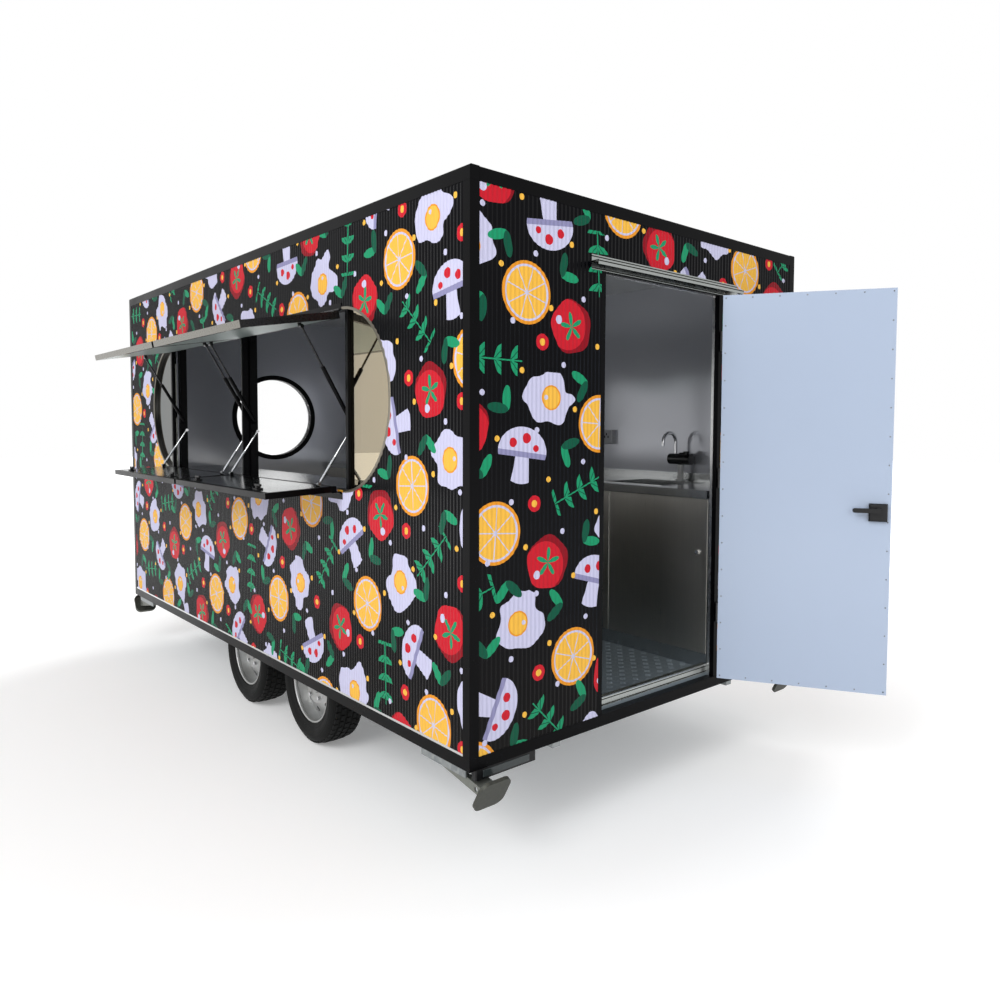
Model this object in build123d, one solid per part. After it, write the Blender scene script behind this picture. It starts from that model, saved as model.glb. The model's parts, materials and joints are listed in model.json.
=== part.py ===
from build123d import *
import os
from math import asin, atan2, cos, degrees, hypot, radians, sin, sqrt

# A single-room catering trailer with a serving window on one long side.
# Millimetres. While it is drawn, X runs forward to the tow coupling, Y to the serving
# side and Z up from the ground, with X and Y measured from the middle of the cabin.
# The finished pieces are moved so that the origin is the middle of the whole footprint.

# Cabin
BODY_LENGTH = 4000
BODY_WIDTH = 2000
BODY_HEIGHT = 2063
GROUND_CLEARANCE = 352
WALL = 40
PANEL_RECESS = 3
BOTTOM_RAIL = 46
TOP_RAIL = 50
RAIL_ROUND = 6
WELD_GAP = 0.5
SEAT_GAP = 0.3
RUNNING_GAP = 0.05
PART_GAP = 5

# Floor
CROSS_MEMBER = 40
CROSS_MEMBER_PITCH = 480
BEAM = 40
BEAM_SPREAD = 1120
FLOOR_PANEL = 20

# Running gear
TYRE_RADIUS = 287.5
TYRE_WIDTH = 175
TYRE_SHOULDER = 9
RIM_RADIUS = 195
RIM_WIDTH = 132
RIM_WALL = 23
RIM_DISC = 14
RIM_DISC_DEPTH = 26
RIM_DISH = 58
RIM_CROWN = 96
RIM_HOLES = 8
RIM_HOLE_RADIUS = 15
RIM_HOLE_CIRCLE = 130
HUB_RADIUS = 46
HUB_LENGTH = 86
HUB_CAP = 20
SPINDLE_RADIUS = 17.5
WHEEL_TRACK = 1650
AXLE_SPACING = 780
AXLE_SETBACK = 150
AXLE_TUBE = 60
TRAILING_ARM = 157
ARM_WIDTH = 26
ARM_DEPTH = 64
WELL_SHEET = 3
WELL_SIDE_GAP = 23
WELL_END_GAP = 52
WELL_TOP_GAP = 62

# Drawbar, coupling and jockey wheel
DRAWBAR_LENGTH = 1000
DRAWBAR_TUBE = 60
DRAWBAR_NOSE = 90
COUPLING_BALL = 50
COUPLING_PLAY = 0.2
COUPLING_WALL = 13
COUPLING_REACH = 150
COUPLING_TAIL = 138
COUPLING_LEVER_SETBACK = 88
COUPLING_SOCKET = 33
JOCKEY_SETBACK = 400
JOCKEY_TUBE_RADIUS = 30
JOCKEY_STEM_RADIUS = 24
JOCKEY_TUBE_LENGTH = 420
JOCKEY_WHEEL_RADIUS = 100
JOCKEY_WHEEL_WIDTH = 60
JOCKEY_TRAIL = 40
JOCKEY_LIFT = 110
FORK_SHEET = 6
CLAMP_SHEET = 12
CLAMP_REACH = 48
CRANK_REACH = 130
CRANK_GRIP = 96
CRANK_SHAFT = 8.4
FORK_TOE = 20
FORK_TOE_DROP = 18

# Serving window
WINDOW_LENGTH = 2950
WINDOW_HEIGHT = 750
WINDOW_SILL = 925
WINDOW_LINING = 2
PANE = 6
POST_WIDTH = 40
POST_DEPTH = 38
POST_OVERLAP = 40
FLAP_REACH = 420
FLAP_THICKNESS = 30
FLAP_ANGLE = 79.4
SHELF_REACH = 320
SHELF_THICKNESS = 25
SHELF_ANGLE = 93.0
SHELF_HINGE_DROP = 14
FLAP_PARTING = 26
EDGE_FRAME = 24
PRINT_RECESS = 3
SHEET_RECESS = 1.5
HINGE_PROUD = 6
HINGE_BARREL = 5
HINGE_LEAF = 28

# Gas struts of the flaps and stays of the shelves
STRUT_PIN_RADIUS = 3
STRUT_EYE_RADIUS = 8
STRUT_EYE_WIDTH = 18
STRUT_EAR = 4
FLAP_STRUT_PIN = 165
FLAP_STRUT_STANDOFF = 14
FLAP_STRUT_POST_HEIGHT = 1208
FLAP_BARREL_RADIUS = 9
FLAP_BARREL_SHARE = 0.56
FLAP_ROD_RADIUS = 4.5
FLAP_STATION = 34
SHELF_STAY_PIN = 70
SHELF_STAY_STANDOFF = 11
SHELF_STAY_POST_HEIGHT = 1163
SHELF_BARREL_RADIUS = 6.5
SHELF_BARREL_SHARE = 0.46
SHELF_ROD_RADIUS = 3.5
SHELF_STATION = 58
ROD_ENGAGEMENT = 24
BARREL_END = 14

# Door
DOOR_WIDTH = 735
DOOR_HEIGHT = 1740
DOOR_OFFSET = -17.5
DOOR_STEP = 54
DOOR_THICKNESS = 35
DOOR_ANGLE = 118
DOOR_FRAME = 25
DOOR_HINGE_RADIUS = 7
DOOR_HINGE_LENGTH = 90
DOOR_HINGE_HEIGHTS = (250, 870, 1490)
DOOR_STRAP = 62
DOOR_STRAP_SHEET = 4
DOOR_PROUD = 1
LOCK_HEIGHT = 788
LOCK_SIZE = 76
LOCK_DEPTH = 24
LOCK_INSET = 15
LOCK_LEVER = 92
LOCK_LEVER_WIDTH = 19
LOCK_LEVER_SHEET = 14
RAIN_STRIP_LENGTH = 946
RAIN_STRIP_REACH = 40
RAIN_STRIP_SHEET = 3
RAIN_STRIP_LIP = 28
SILL_HEIGHT = 38
SILL_DEPTH = 32

# Round window in the front wall
PORTHOLE_CLEAR = 585
PORTHOLE_FLANGE = 655
PORTHOLE_HEIGHT = 1260
PORTHOLE_FLANGE_SHEET = 6
PORTHOLE_TUBE = 7

# Fittings in the room
COUNTER_SHEET = 18
WORKTOP = 38
SINK_RUN_DEPTH = 540
SINK_RUN_HEIGHT = 905
COUNTER_DEPTH = 530
COUNTER_HEIGHT = 898
COUNTER_LENGTH = 3080
UPSTAND = 42
UPSTAND_SHEET = 12
END_GAP = 30
BOWL_LENGTH = 400
BOWL_WIDTH = 340
BOWL_DEPTH = 180
BOWL_SHEET = 2
BOWL_FROM_REAR = 590
BOWL_SETBACK = 290
TAP_SETBACK = 60
TAP_STEM = 120
TAP_STEM_RADIUS = 17
TAP_BODY_RADIUS = 30
TAP_BODY_LENGTH = 150
TAP_LEVER_RISE = 44
TAP_SPOUT_RADIUS = 9
TAP_SPOUT_RISE = 90
TAP_SPOUT_BEND = 55
SOCKET_SIZE = 86
SOCKET_DEPTH = 32
SOCKET_FROM_REAR = 1200
SOCKET_HEIGHT = 1142

# Corner steadies
STEADY_INSET = 300
STEADY_SPREAD = 1860
STEADY_CHANNEL = 100
STEADY_SHEET = 5
STEADY_DEPTH = 40
STEADY_PIN_RADIUS = 8
STEADY_PIN_DROP = 22
STEADY_CHANNEL_REACH = 250
STEADY_LEG = 340
STEADY_LEG_WIDTH = 66
STEADY_LEG_DEPTH = 34
STEADY_LEG_SHEET = 6
STEADY_SLOT = 120
STEADY_SLOT_WIDTH = 26
STEADY_EYE_RADIUS = 9
STEADY_FOOT = 130
STEADY_FOOT_ROUND = 34
STEADY_FOOT_HEIGHT = 14
STEADY_PARKED_ANGLE = 10
STEADY_GROUND_GAP = 4
LAMP_BAR_LENGTH = 275
LAMP_BAR_HEIGHT = 40
LAMP_BAR_DEPTH = 30

# Places worked out from the sizes above
BODY_END = BODY_LENGTH / 2
BODY_SIDE = BODY_WIDTH / 2
BODY_TOP = GROUND_CLEARANCE + BODY_HEIGHT
INNER_END = BODY_END - WALL
INNER_SIDE = BODY_SIDE - WALL
OUTER_END = BODY_END - PANEL_RECESS
OUTER_SIDE = BODY_SIDE - PANEL_RECESS
RAIL_TOP = GROUND_CLEARANCE + BOTTOM_RAIL
PANEL_TOP = BODY_TOP - TOP_RAIL
FLOOR_TOP = GROUND_CLEARANCE + CROSS_MEMBER + FLOOR_PANEL
CROSS_MEMBERS_EACH_WAY = int((INNER_END - CROSS_MEMBER / 2) / CROSS_MEMBER_PITCH + 0.5)
AXLE_X = {"rear": -AXLE_SETBACK - AXLE_SPACING / 2, "front": -AXLE_SETBACK + AXLE_SPACING / 2}
WHEEL_Y = WHEEL_TRACK / 2
WELL_INNER = WHEEL_Y - TYRE_WIDTH / 2 - WELL_SIDE_GAP
WELL_REAR = AXLE_X["rear"] - TYRE_RADIUS - WELL_END_GAP
WELL_FRONT = AXLE_X["front"] + TYRE_RADIUS + WELL_END_GAP
WELL_TOP = 2 * TYRE_RADIUS + WELL_TOP_GAP
WINDOW_BOTTOM = GROUND_CLEARANCE + WINDOW_SILL
WINDOW_TOP = WINDOW_BOTTOM + WINDOW_HEIGHT
WINDOW_MIDDLE = WINDOW_BOTTOM + WINDOW_HEIGHT / 2
POST_X = (WINDOW_LENGTH - WINDOW_HEIGHT) / 2
POST_SIDE = INNER_SIDE - POST_DEPTH / 2
DOOR_LEFT = DOOR_OFFSET + DOOR_WIDTH / 2
DOOR_RIGHT = DOOR_OFFSET - DOOR_WIDTH / 2
DOOR_BOTTOM = GROUND_CLEARANCE + DOOR_STEP
DOOR_TOP = DOOR_BOTTOM + DOOR_HEIGHT
DOOR_FACE = -OUTER_END - DOOR_PROUD
DOOR_AXIS = (DOOR_FACE - DOOR_HINGE_RADIUS, DOOR_RIGHT - DOOR_HINGE_RADIUS)
DRAWBAR_TOP = GROUND_CLEARANCE
DRAWBAR_REAR = INNER_END
DRAWBAR_TIP = DRAWBAR_REAR + DRAWBAR_LENGTH
SOCKET_X = DRAWBAR_TIP + COUPLING_REACH
JOCKEY_X = DRAWBAR_TIP - JOCKEY_SETBACK
STEADY_PIVOT_X = BODY_END - STEADY_INSET
STEADY_PIVOT_Z = GROUND_CLEARANCE - STEADY_PIN_DROP
STEADY_Y = STEADY_SPREAD / 2
STEADY_FALL = STEADY_PIVOT_Z - STEADY_FOOT_HEIGHT / 2 - STEADY_GROUND_GAP
STEADY_LOWERED_ANGLE = degrees(asin(STEADY_FALL / STEADY_LEG))
BOWL_CENTRE = -INNER_END + BOWL_FROM_REAR
SOCKET_PLACE = -INNER_END + SOCKET_FROM_REAR
SINK_FRONT = -INNER_SIDE + SINK_RUN_DEPTH
SINK_TOP = GROUND_CLEARANCE + SINK_RUN_HEIGHT
SINK_SPAN = (-INNER_END + END_GAP, INNER_END - END_GAP)
COUNTER_FRONT = INNER_SIDE - COUNTER_DEPTH
COUNTER_TOP = GROUND_CLEARANCE + COUNTER_HEIGHT
COUNTER_SPAN = (INNER_END - END_GAP - COUNTER_LENGTH, INNER_END - END_GAP)
FLAP_AXIS = (BODY_SIDE + HINGE_PROUD, WINDOW_TOP)
SHELF_AXIS = (BODY_SIDE + HINGE_PROUD, WINDOW_BOTTOM - SHELF_HINGE_DROP)
JOCKEY_TUBE_BOTTOM = DRAWBAR_TOP - CLAMP_SHEET
JOCKEY_CROWN = 2 * JOCKEY_WHEEL_RADIUS + 2 * PART_GAP


def block(x, y, z):
    """A box between two limits on each axis."""
    size = [abs(pair[1] - pair[0]) for pair in (x, y, z)]
    middle = [(pair[0] + pair[1]) / 2 for pair in (x, y, z)]
    return Pos(*middle) * Box(*size)


def across(sketch, y0, y1):
    """A sketch drawn in X and Z, given depth from y0 to y1."""
    return extrude(Plane.XZ.offset(-y1) * sketch, amount=y1 - y0)


def along(sketch, x0, x1):
    """A sketch drawn in Y and Z, given depth from x0 to x1."""
    return extrude(Plane.YZ.offset(x0) * sketch, amount=x1 - x0)


def upright(sketch, z0, z1):
    """A sketch drawn in X and Y, given height from z0 to z1."""
    return extrude(Plane.XY.offset(z0) * sketch, amount=z1 - z0)


def bar_x(radius, x0, x1, y, z):
    """A round bar along X."""
    return along(Pos(y, z) * Circle(radius), x0, x1)


def outline(points):
    """A filled polygon."""
    return make_face(Polyline(*points, close=True))


def group(*solids):
    """Pieces of one node that stand apart from each other."""
    return Compound([piece.solid() for piece in solids])


def both_sides(piece):
    """A piece and its twin on the other long side."""
    return [piece, mirror(piece, about=Plane.XZ)]


def both_ends(piece):
    """A piece and its twin at the other end."""
    return [piece, mirror(piece, about=Plane.YZ)]


# Cabin frame: square bars round the panels, welded at the corners
def cabin_frame():
    """Rails round the foot and the top of the cabin, and a post at each corner."""
    reach = INNER_SIDE - WELD_GAP
    low = (GROUND_CLEARANCE, RAIL_TOP)
    high = (PANEL_TOP, BODY_TOP)
    bars = both_sides(block((-BODY_END, BODY_END), (INNER_SIDE, BODY_SIDE), low))
    bars += both_ends(block((INNER_END, BODY_END), (-reach, reach), low))
    side = block((-BODY_END, BODY_END), (INNER_SIDE, BODY_SIDE), high)
    rounded = side.edges().filter_by(Axis.X).sort_by(Axis.Z)[2:].sort_by(Axis.Y)[-1:]
    bars += both_sides(fillet(rounded, RAIL_ROUND))
    end = block((INNER_END, BODY_END), (-reach, reach), high)
    rounded = end.edges().filter_by(Axis.Y).sort_by(Axis.Z)[2:].sort_by(Axis.X)[-1:]
    bars += both_ends(fillet(rounded, RAIL_ROUND))
    height = (RAIL_TOP + WELD_GAP, PANEL_TOP - WELD_GAP)
    post = block((INNER_END, BODY_END), (INNER_SIDE, BODY_SIDE), height)
    for end in both_ends(post):
        bars += both_sides(end)
    return group(*bars)


def chassis_frame():
    """Cross bars under the floor, shorter between the wheel boxes, on two long beams."""
    bars = []
    for step in range(CROSS_MEMBERS_EACH_WAY):
        for side in (-1, 1):
            x = side * (step + 0.5) * CROSS_MEMBER_PITCH
            beside_wheels = WELL_REAR - CROSS_MEMBER < x < WELL_FRONT + CROSS_MEMBER
            reach = (WELL_INNER - WELL_SHEET if beside_wheels else INNER_SIDE) - WELD_GAP
            width = (x - CROSS_MEMBER / 2, x + CROSS_MEMBER / 2)
            height = (GROUND_CLEARANCE, GROUND_CLEARANCE + CROSS_MEMBER)
            bars.append(block(width, (-reach, reach), height))
    y = BEAM_SPREAD / 2
    ends = (-INNER_END, DRAWBAR_REAR - WELD_GAP)
    height = (GROUND_CLEARANCE - BEAM, GROUND_CLEARANCE - WELD_GAP)
    beam = block(ends, (y - BEAM / 2, y + BEAM / 2), height)
    return group(*bars, *both_sides(beam))


def floor():
    bottom = GROUND_CLEARANCE + CROSS_MEMBER
    panel = block((-INNER_END, INNER_END), (-INNER_SIDE, INNER_SIDE), (bottom, FLOOR_TOP))
    notch = block((WELL_REAR, WELL_FRONT), (WELL_INNER - WELL_SHEET, INNER_SIDE), (bottom, FLOOR_TOP))
    for piece in both_sides(notch):
        panel -= piece
    return panel


def wheel_boxes():
    """Folded sheet boxes, open below, that keep the wheels out of the room."""
    low = GROUND_CLEARANCE
    shell = block((WELL_REAR, WELL_FRONT), (WELL_INNER - WELL_SHEET, INNER_SIDE), (low, WELL_TOP))
    hollow = block(
        (WELL_REAR + WELL_SHEET, WELL_FRONT - WELL_SHEET),
        (WELL_INNER, INNER_SIDE),
        (low, WELL_TOP - WELL_SHEET),
    )
    return group(*both_sides(shell - hollow))


# Walls and roof: sandwich panels set between the bars
def window_outline(grow=0):
    return Pos(0, WINDOW_MIDDLE) * SlotOverall(WINDOW_LENGTH + grow, WINDOW_HEIGHT + grow)


def wall_serving():
    wall = block((-INNER_END, INNER_END), (INNER_SIDE, OUTER_SIDE), (RAIL_TOP, PANEL_TOP))
    return wall - across(window_outline(2 * WINDOW_LINING), INNER_SIDE, OUTER_SIDE)


def wall_kitchen():
    return block((-INNER_END, INNER_END), (-OUTER_SIDE, -INNER_SIDE), (RAIL_TOP, PANEL_TOP))


def wall_rear():
    wall = block((-OUTER_END, -INNER_END), (-INNER_SIDE, INNER_SIDE), (RAIL_TOP, PANEL_TOP))
    doorway = block(
        (-OUTER_END, -INNER_END),
        (DOOR_RIGHT - DOOR_FRAME, DOOR_LEFT + DOOR_FRAME),
        (RAIL_TOP, DOOR_TOP + DOOR_FRAME),
    )
    return wall - doorway


def wall_front():
    wall = block((INNER_END, OUTER_END), (-INNER_SIDE, INNER_SIDE), (RAIL_TOP, PANEL_TOP))
    radius = PORTHOLE_CLEAR / 2 + PORTHOLE_TUBE + SEAT_GAP
    hole = Pos(0, GROUND_CLEARANCE + PORTHOLE_HEIGHT) * Circle(radius)
    return wall - along(hole, INNER_END, OUTER_END)


def roof():
    reach_x = INNER_END - WELD_GAP
    reach_y = INNER_SIDE - WELD_GAP
    return block((-reach_x, reach_x), (-reach_y, reach_y), (PANEL_TOP, BODY_TOP - PANEL_RECESS))


# Round window
def porthole_ring():
    centre = Pos(0, GROUND_CLEARANCE + PORTHOLE_HEIGHT)
    clear = PORTHOLE_CLEAR / 2
    tube = along(centre * (Circle(clear + PORTHOLE_TUBE) - Circle(clear)), INNER_END, OUTER_END)
    flange = centre * (Circle(PORTHOLE_FLANGE / 2) - Circle(clear))
    outside = along(flange, OUTER_END, OUTER_END + PORTHOLE_FLANGE_SHEET)
    inside = along(flange, INNER_END - PORTHOLE_FLANGE_SHEET, INNER_END)
    return tube + outside + inside


# Serving window: lining, posts, fixed end panes and the hinge leaves on the wall
def window_lining():
    ring = window_outline(2 * WINDOW_LINING) - window_outline()
    return across(ring, INNER_SIDE, OUTER_SIDE)


def glazing():
    """The round pane of the front wall and the two fixed end panes of the serving window."""
    middle = (INNER_END + OUTER_END) / 2
    disc = Pos(0, GROUND_CLEARANCE + PORTHOLE_HEIGHT) * Circle(PORTHOLE_CLEAR / 2 - SEAT_GAP)
    round_pane = along(disc, middle - PANE / 2, middle + PANE / 2)
    middle = (INNER_SIDE + OUTER_SIDE) / 2
    pane = across(window_outline(-2 * SEAT_GAP), middle - PANE / 2, middle + PANE / 2)
    edge = POST_X + WELD_GAP
    half = block((edge, WINDOW_LENGTH), (0, BODY_SIDE), (WINDOW_BOTTOM, WINDOW_TOP))
    return group(round_pane, *both_ends(pane & half))


POST_STATIONS = (-POST_X, 0, POST_X)
# Each leaf of the window: its name, and the two posts that its struts stand on.
LEAVES = (("rear", -POST_X, 0), ("front", 0, POST_X))


def strut_stations(posts, offset):
    """Where a leaf's two struts stand along X: just inside its two posts."""
    return (posts[0] + offset, posts[1] - offset)


def window_posts():
    """Three posts with an ear for each gas strut and a stud for each shelf stay."""
    posts = []
    top = WINDOW_TOP + POST_OVERLAP
    for x in POST_STATIONS:
        half = POST_WIDTH / 2
        post = block((x - half, x + half), (INNER_SIDE - POST_DEPTH, INNER_SIDE), (COUNTER_TOP, top))
        for side in (-1, 1):
            if abs(x + side * half) > POST_X:
                continue
            ear_end = x + side * (FLAP_STATION - STRUT_EYE_WIDTH / 2 - SEAT_GAP)
            stud_end = x + side * (SHELF_STATION - STRUT_EYE_WIDTH / 2 - SEAT_GAP)
            face = x + side * half
            ear_z = GROUND_CLEARANCE + FLAP_STRUT_POST_HEIGHT
            stud_z = GROUND_CLEARANCE + SHELF_STAY_POST_HEIGHT
            post += bar_x(STRUT_EYE_RADIUS, min(face, ear_end), max(face, ear_end), POST_SIDE, ear_z)
            post += bar_x(STRUT_PIN_RADIUS, min(face, stud_end), max(face, stud_end), POST_SIDE, stud_z)
        posts.append(post)
    return group(*posts)


def leaf_span(posts):
    """The two ends of a window leaf along X."""
    ends = []
    for x in posts:
        if x == 0:
            ends.append(FLAP_PARTING / 2 * (1 if sum(posts) > 0 else -1))
        else:
            ends.append(x - PART_GAP * (1 if x > 0 else -1))
    return ends


def hinge_leaves():
    """Fixed halves of the hinges: strips above and below the window, plates beside the door."""
    strips = []
    face = FLAP_AXIS[0] - HINGE_BARREL - SEAT_GAP
    for name, *posts in LEAVES:
        span = leaf_span(posts)
        above = (FLAP_AXIS[1] + WINDOW_LINING, FLAP_AXIS[1] + HINGE_LEAF)
        strips.append(block(span, (OUTER_SIDE, face), above))
        below = (SHELF_AXIS[1] - HINGE_LEAF, SHELF_AXIS[1] - WINDOW_LINING)
        strips.append(block(span, (OUTER_SIDE, face), below))
    face = -OUTER_END - DOOR_STRAP_SHEET
    off_axis = face - DOOR_AXIS[0]
    edge = DOOR_AXIS[1] - sqrt((DOOR_HINGE_RADIUS + SEAT_GAP) ** 2 - off_axis**2)
    for height in DOOR_HINGE_HEIGHTS:
        z = DOOR_BOTTOM + height
        y = (DOOR_AXIS[1] - DOOR_STRAP, edge)
        strips.append(block((face, -OUTER_END), y, (z, z + DOOR_HINGE_LENGTH)))
    return group(*strips)


def turned(piece, axis, angle):
    """A window leaf turned about its hinge, given as Y and Z."""
    return Pos(0, *axis) * Rot(angle, 0, 0) * Pos(0, -axis[0], -axis[1]) * piece


def strut_ears(stations, y, z, panel_y):
    """Ears on a leaf's inner face that carry the strut pins, drawn with the leaf closed."""
    ears = []
    for x, inward in zip(stations, (1, -1)):
        near = x + inward * (STRUT_EYE_WIDTH / 2 + SEAT_GAP)
        far = near + inward * STRUT_EAR
        pin_end = x - inward * STRUT_EYE_WIDTH / 2
        ear = bar_x(STRUT_EYE_RADIUS, min(near, far), max(near, far), y, z)
        ear += block((near, far), (y, panel_y), (z - STRUT_EYE_RADIUS, z + STRUT_EYE_RADIUS))
        ear += bar_x(STRUT_PIN_RADIUS, min(pin_end, far), max(pin_end, far), y, z)
        ears.append(ear)
    return ears


FLAP_INNER = BODY_SIDE - FLAP_THICKNESS
FLAP_PIN = (FLAP_INNER - FLAP_STRUT_STANDOFF, FLAP_AXIS[1] - FLAP_STRUT_PIN)
SHELF_INNER = BODY_SIDE - SHELF_THICKNESS
SHELF_PIN = (SHELF_INNER - SHELF_STAY_STANDOFF, SHELF_AXIS[1] + SHELF_STAY_PIN)


def framed_panel(x, y, z):
    """A panel in an edge frame, sunk for the printed skin outside and the steel sheet inside."""
    inside = [(min(pair) + EDGE_FRAME, max(pair) - EDGE_FRAME) for pair in (x, z)]
    panel = block(x, y, z)
    panel -= block(inside[0], (max(y) - PRINT_RECESS, max(y)), inside[1])
    return panel - block(inside[0], (min(y), min(y) + SHEET_RECESS), inside[1])


def flap_closed(posts):
    """An upper flap, drawn shut."""
    span = leaf_span(posts)
    z = (FLAP_AXIS[1] - FLAP_REACH, FLAP_AXIS[1] - PART_GAP)
    panel = framed_panel(span, (FLAP_INNER, BODY_SIDE), z)
    strap = (FLAP_AXIS[1] - HINGE_LEAF, FLAP_AXIS[1])
    panel += block(span, (BODY_SIDE, BODY_SIDE + HINGE_PROUD / 2), strap)
    panel += bar_x(HINGE_BARREL, min(span), max(span), *FLAP_AXIS)
    for ear in strut_ears(strut_stations(posts, FLAP_STATION), *FLAP_PIN, FLAP_INNER + SHEET_RECESS):
        panel += ear
    return panel


def shelf_closed(posts):
    """A lower shelf, drawn shut."""
    span = leaf_span(posts)
    z = (WINDOW_BOTTOM + PART_GAP, SHELF_AXIS[1] + SHELF_REACH)
    panel = framed_panel(span, (SHELF_INNER, BODY_SIDE), z)
    strap = (SHELF_AXIS[1], SHELF_AXIS[1] + HINGE_LEAF + SHELF_HINGE_DROP)
    panel += block(span, (BODY_SIDE, BODY_SIDE + HINGE_PROUD / 2), strap)
    panel += bar_x(HINGE_BARREL, min(span), max(span), *SHELF_AXIS)
    for ear in strut_ears(strut_stations(posts, SHELF_STATION), *SHELF_PIN, SHELF_INNER + SHEET_RECESS):
        panel += ear
    return panel


def turn_point(point, axis, angle):
    """A point in Y and Z, turned about a hinge."""
    y, z = point[0] - axis[0], point[1] - axis[1]
    c, s = cos(radians(angle)), sin(radians(angle))
    return (axis[0] + y * c - z * s, axis[1] + y * s + z * c)


class Strut:
    """A telescopic strut between a window leaf's pin and the posts, both given as Y and Z."""

    def __init__(self, pin, axis, angle, post_height):
        self.axis = axis
        self.post = (POST_SIDE, GROUND_CLEARANCE + post_height)
        self.pin = turn_point(pin, axis, angle)
        self.open_length = hypot(self.post[0] - self.pin[0], self.post[1] - self.pin[1])
        self.closed_length = hypot(self.post[0] - pin[0], self.post[1] - pin[1])
        self.lean = degrees(atan2(self.post[1] - self.pin[1], self.post[0] - self.pin[0]))
        self.lean_closed = degrees(atan2(self.post[1] - pin[1], self.post[0] - pin[0]))

    def place(self, piece, x):
        """Moves a piece drawn from the pin along +Y to where the strut stands at rest."""
        return Pos(x, *self.pin) * Rot(self.lean, 0, 0) * piece

    def swing(self, leaf_turn):
        """Turn of the strut against its leaf while the leaf shuts, in degrees."""
        change = self.lean_closed - (self.lean + leaf_turn)
        return (change + 180) % 360 - 180


FLAP_STRUT = Strut(FLAP_PIN, FLAP_AXIS, FLAP_ANGLE, FLAP_STRUT_POST_HEIGHT)
SHELF_STAY = Strut(SHELF_PIN, SHELF_AXIS, -SHELF_ANGLE, SHELF_STAY_POST_HEIGHT)


def rod_y(radius, y0, y1):
    """A round bar along Y."""
    return across(Circle(radius), y0, y1)


def strut_eye(y, bore):
    """The eye at a strut's end."""
    half = STRUT_EYE_WIDTH / 2
    eye = bar_x(STRUT_EYE_RADIUS, -half, half, y, 0)
    return eye - bar_x(bore, -half, half, y, 0)


def strut_rod(strut, rod_radius, barrel_length, from_pin):
    """The rod, with an eye at the leaf's pin or at the post."""
    inner_end = strut.open_length - BARREL_END - barrel_length + ROD_ENGAGEMENT
    if not from_pin:
        inner_end = BARREL_END + barrel_length - ROD_ENGAGEMENT
        rod = rod_y(rod_radius, inner_end, strut.open_length - STRUT_EYE_RADIUS / 2)
        return rod + strut_eye(strut.open_length, STRUT_PIN_RADIUS + RUNNING_GAP)
    rod = rod_y(rod_radius, STRUT_EYE_RADIUS / 2, inner_end)
    return rod + strut_eye(0, STRUT_PIN_RADIUS + RUNNING_GAP) - bar_x(
        STRUT_PIN_RADIUS + RUNNING_GAP, -STRUT_EYE_WIDTH, STRUT_EYE_WIDTH, 0, 0
    )


def strut_barrel(strut, radius, rod_radius, length, from_pin):
    """The barrel, bored for the rod, with an eye at the post or at the leaf's pin."""
    reach = strut.open_length
    low = BARREL_END if from_pin else reach - BARREL_END - length
    high = low + length
    eye_at = 0 if from_pin else reach
    barrel = rod_y(radius, low, high)
    neck = rod_y(rod_radius, min(eye_at, low), low) if from_pin else rod_y(rod_radius, high, reach)
    bored = (low + BARREL_END / 2, high) if from_pin else (low, high - BARREL_END / 2)
    barrel -= rod_y(rod_radius + SEAT_GAP, *bored)
    hole = STRUT_PIN_RADIUS + RUNNING_GAP
    cut = bar_x(hole, -STRUT_EYE_WIDTH, STRUT_EYE_WIDTH, eye_at, 0)
    return barrel + neck + strut_eye(eye_at, hole) - cut


FLAP_BARREL_LENGTH = FLAP_STRUT.open_length * FLAP_BARREL_SHARE
SHELF_BARREL_LENGTH = SHELF_STAY.open_length * SHELF_BARREL_SHARE


def flap_rods(posts):
    rod = strut_rod(FLAP_STRUT, FLAP_ROD_RADIUS, FLAP_BARREL_LENGTH, True)
    return group(*[FLAP_STRUT.place(rod, x) for x in strut_stations(posts, FLAP_STATION)])


def flap_barrels(posts):
    barrel = strut_barrel(FLAP_STRUT, FLAP_BARREL_RADIUS, FLAP_ROD_RADIUS, FLAP_BARREL_LENGTH, False)
    return group(*[FLAP_STRUT.place(barrel, x) for x in strut_stations(posts, FLAP_STATION)])


def shelf_barrels(posts):
    barrel = strut_barrel(SHELF_STAY, SHELF_BARREL_RADIUS, SHELF_ROD_RADIUS, SHELF_BARREL_LENGTH, True)
    return group(*[SHELF_STAY.place(barrel, x) for x in strut_stations(posts, SHELF_STATION)])


def shelf_rods(posts):
    rod = strut_rod(SHELF_STAY, SHELF_ROD_RADIUS, SHELF_BARREL_LENGTH, False)
    return group(*[SHELF_STAY.place(rod, x) for x in strut_stations(posts, SHELF_STATION)])


# Door: frame, leaf, lock, rain strip and sill
def door_frame():
    depth = (-OUTER_END, -INNER_END)
    head_z = (DOOR_TOP, DOOR_TOP + DOOR_FRAME)
    left = block(depth, (DOOR_LEFT, DOOR_LEFT + DOOR_FRAME), (RAIL_TOP, head_z[1]))
    right = block(depth, (DOOR_RIGHT - DOOR_FRAME, DOOR_RIGHT), (RAIL_TOP, head_z[1]))
    head = block(depth, (DOOR_RIGHT + WELD_GAP, DOOR_LEFT - WELD_GAP), head_z)
    return group(left, right, head)


def at_door(piece):
    """A piece drawn on the shut door, turned to where the door stands open."""
    return Pos(*DOOR_AXIS, 0) * Rot(0, 0, DOOR_ANGLE) * Pos(-DOOR_AXIS[0], -DOOR_AXIS[1], 0) * piece


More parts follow.
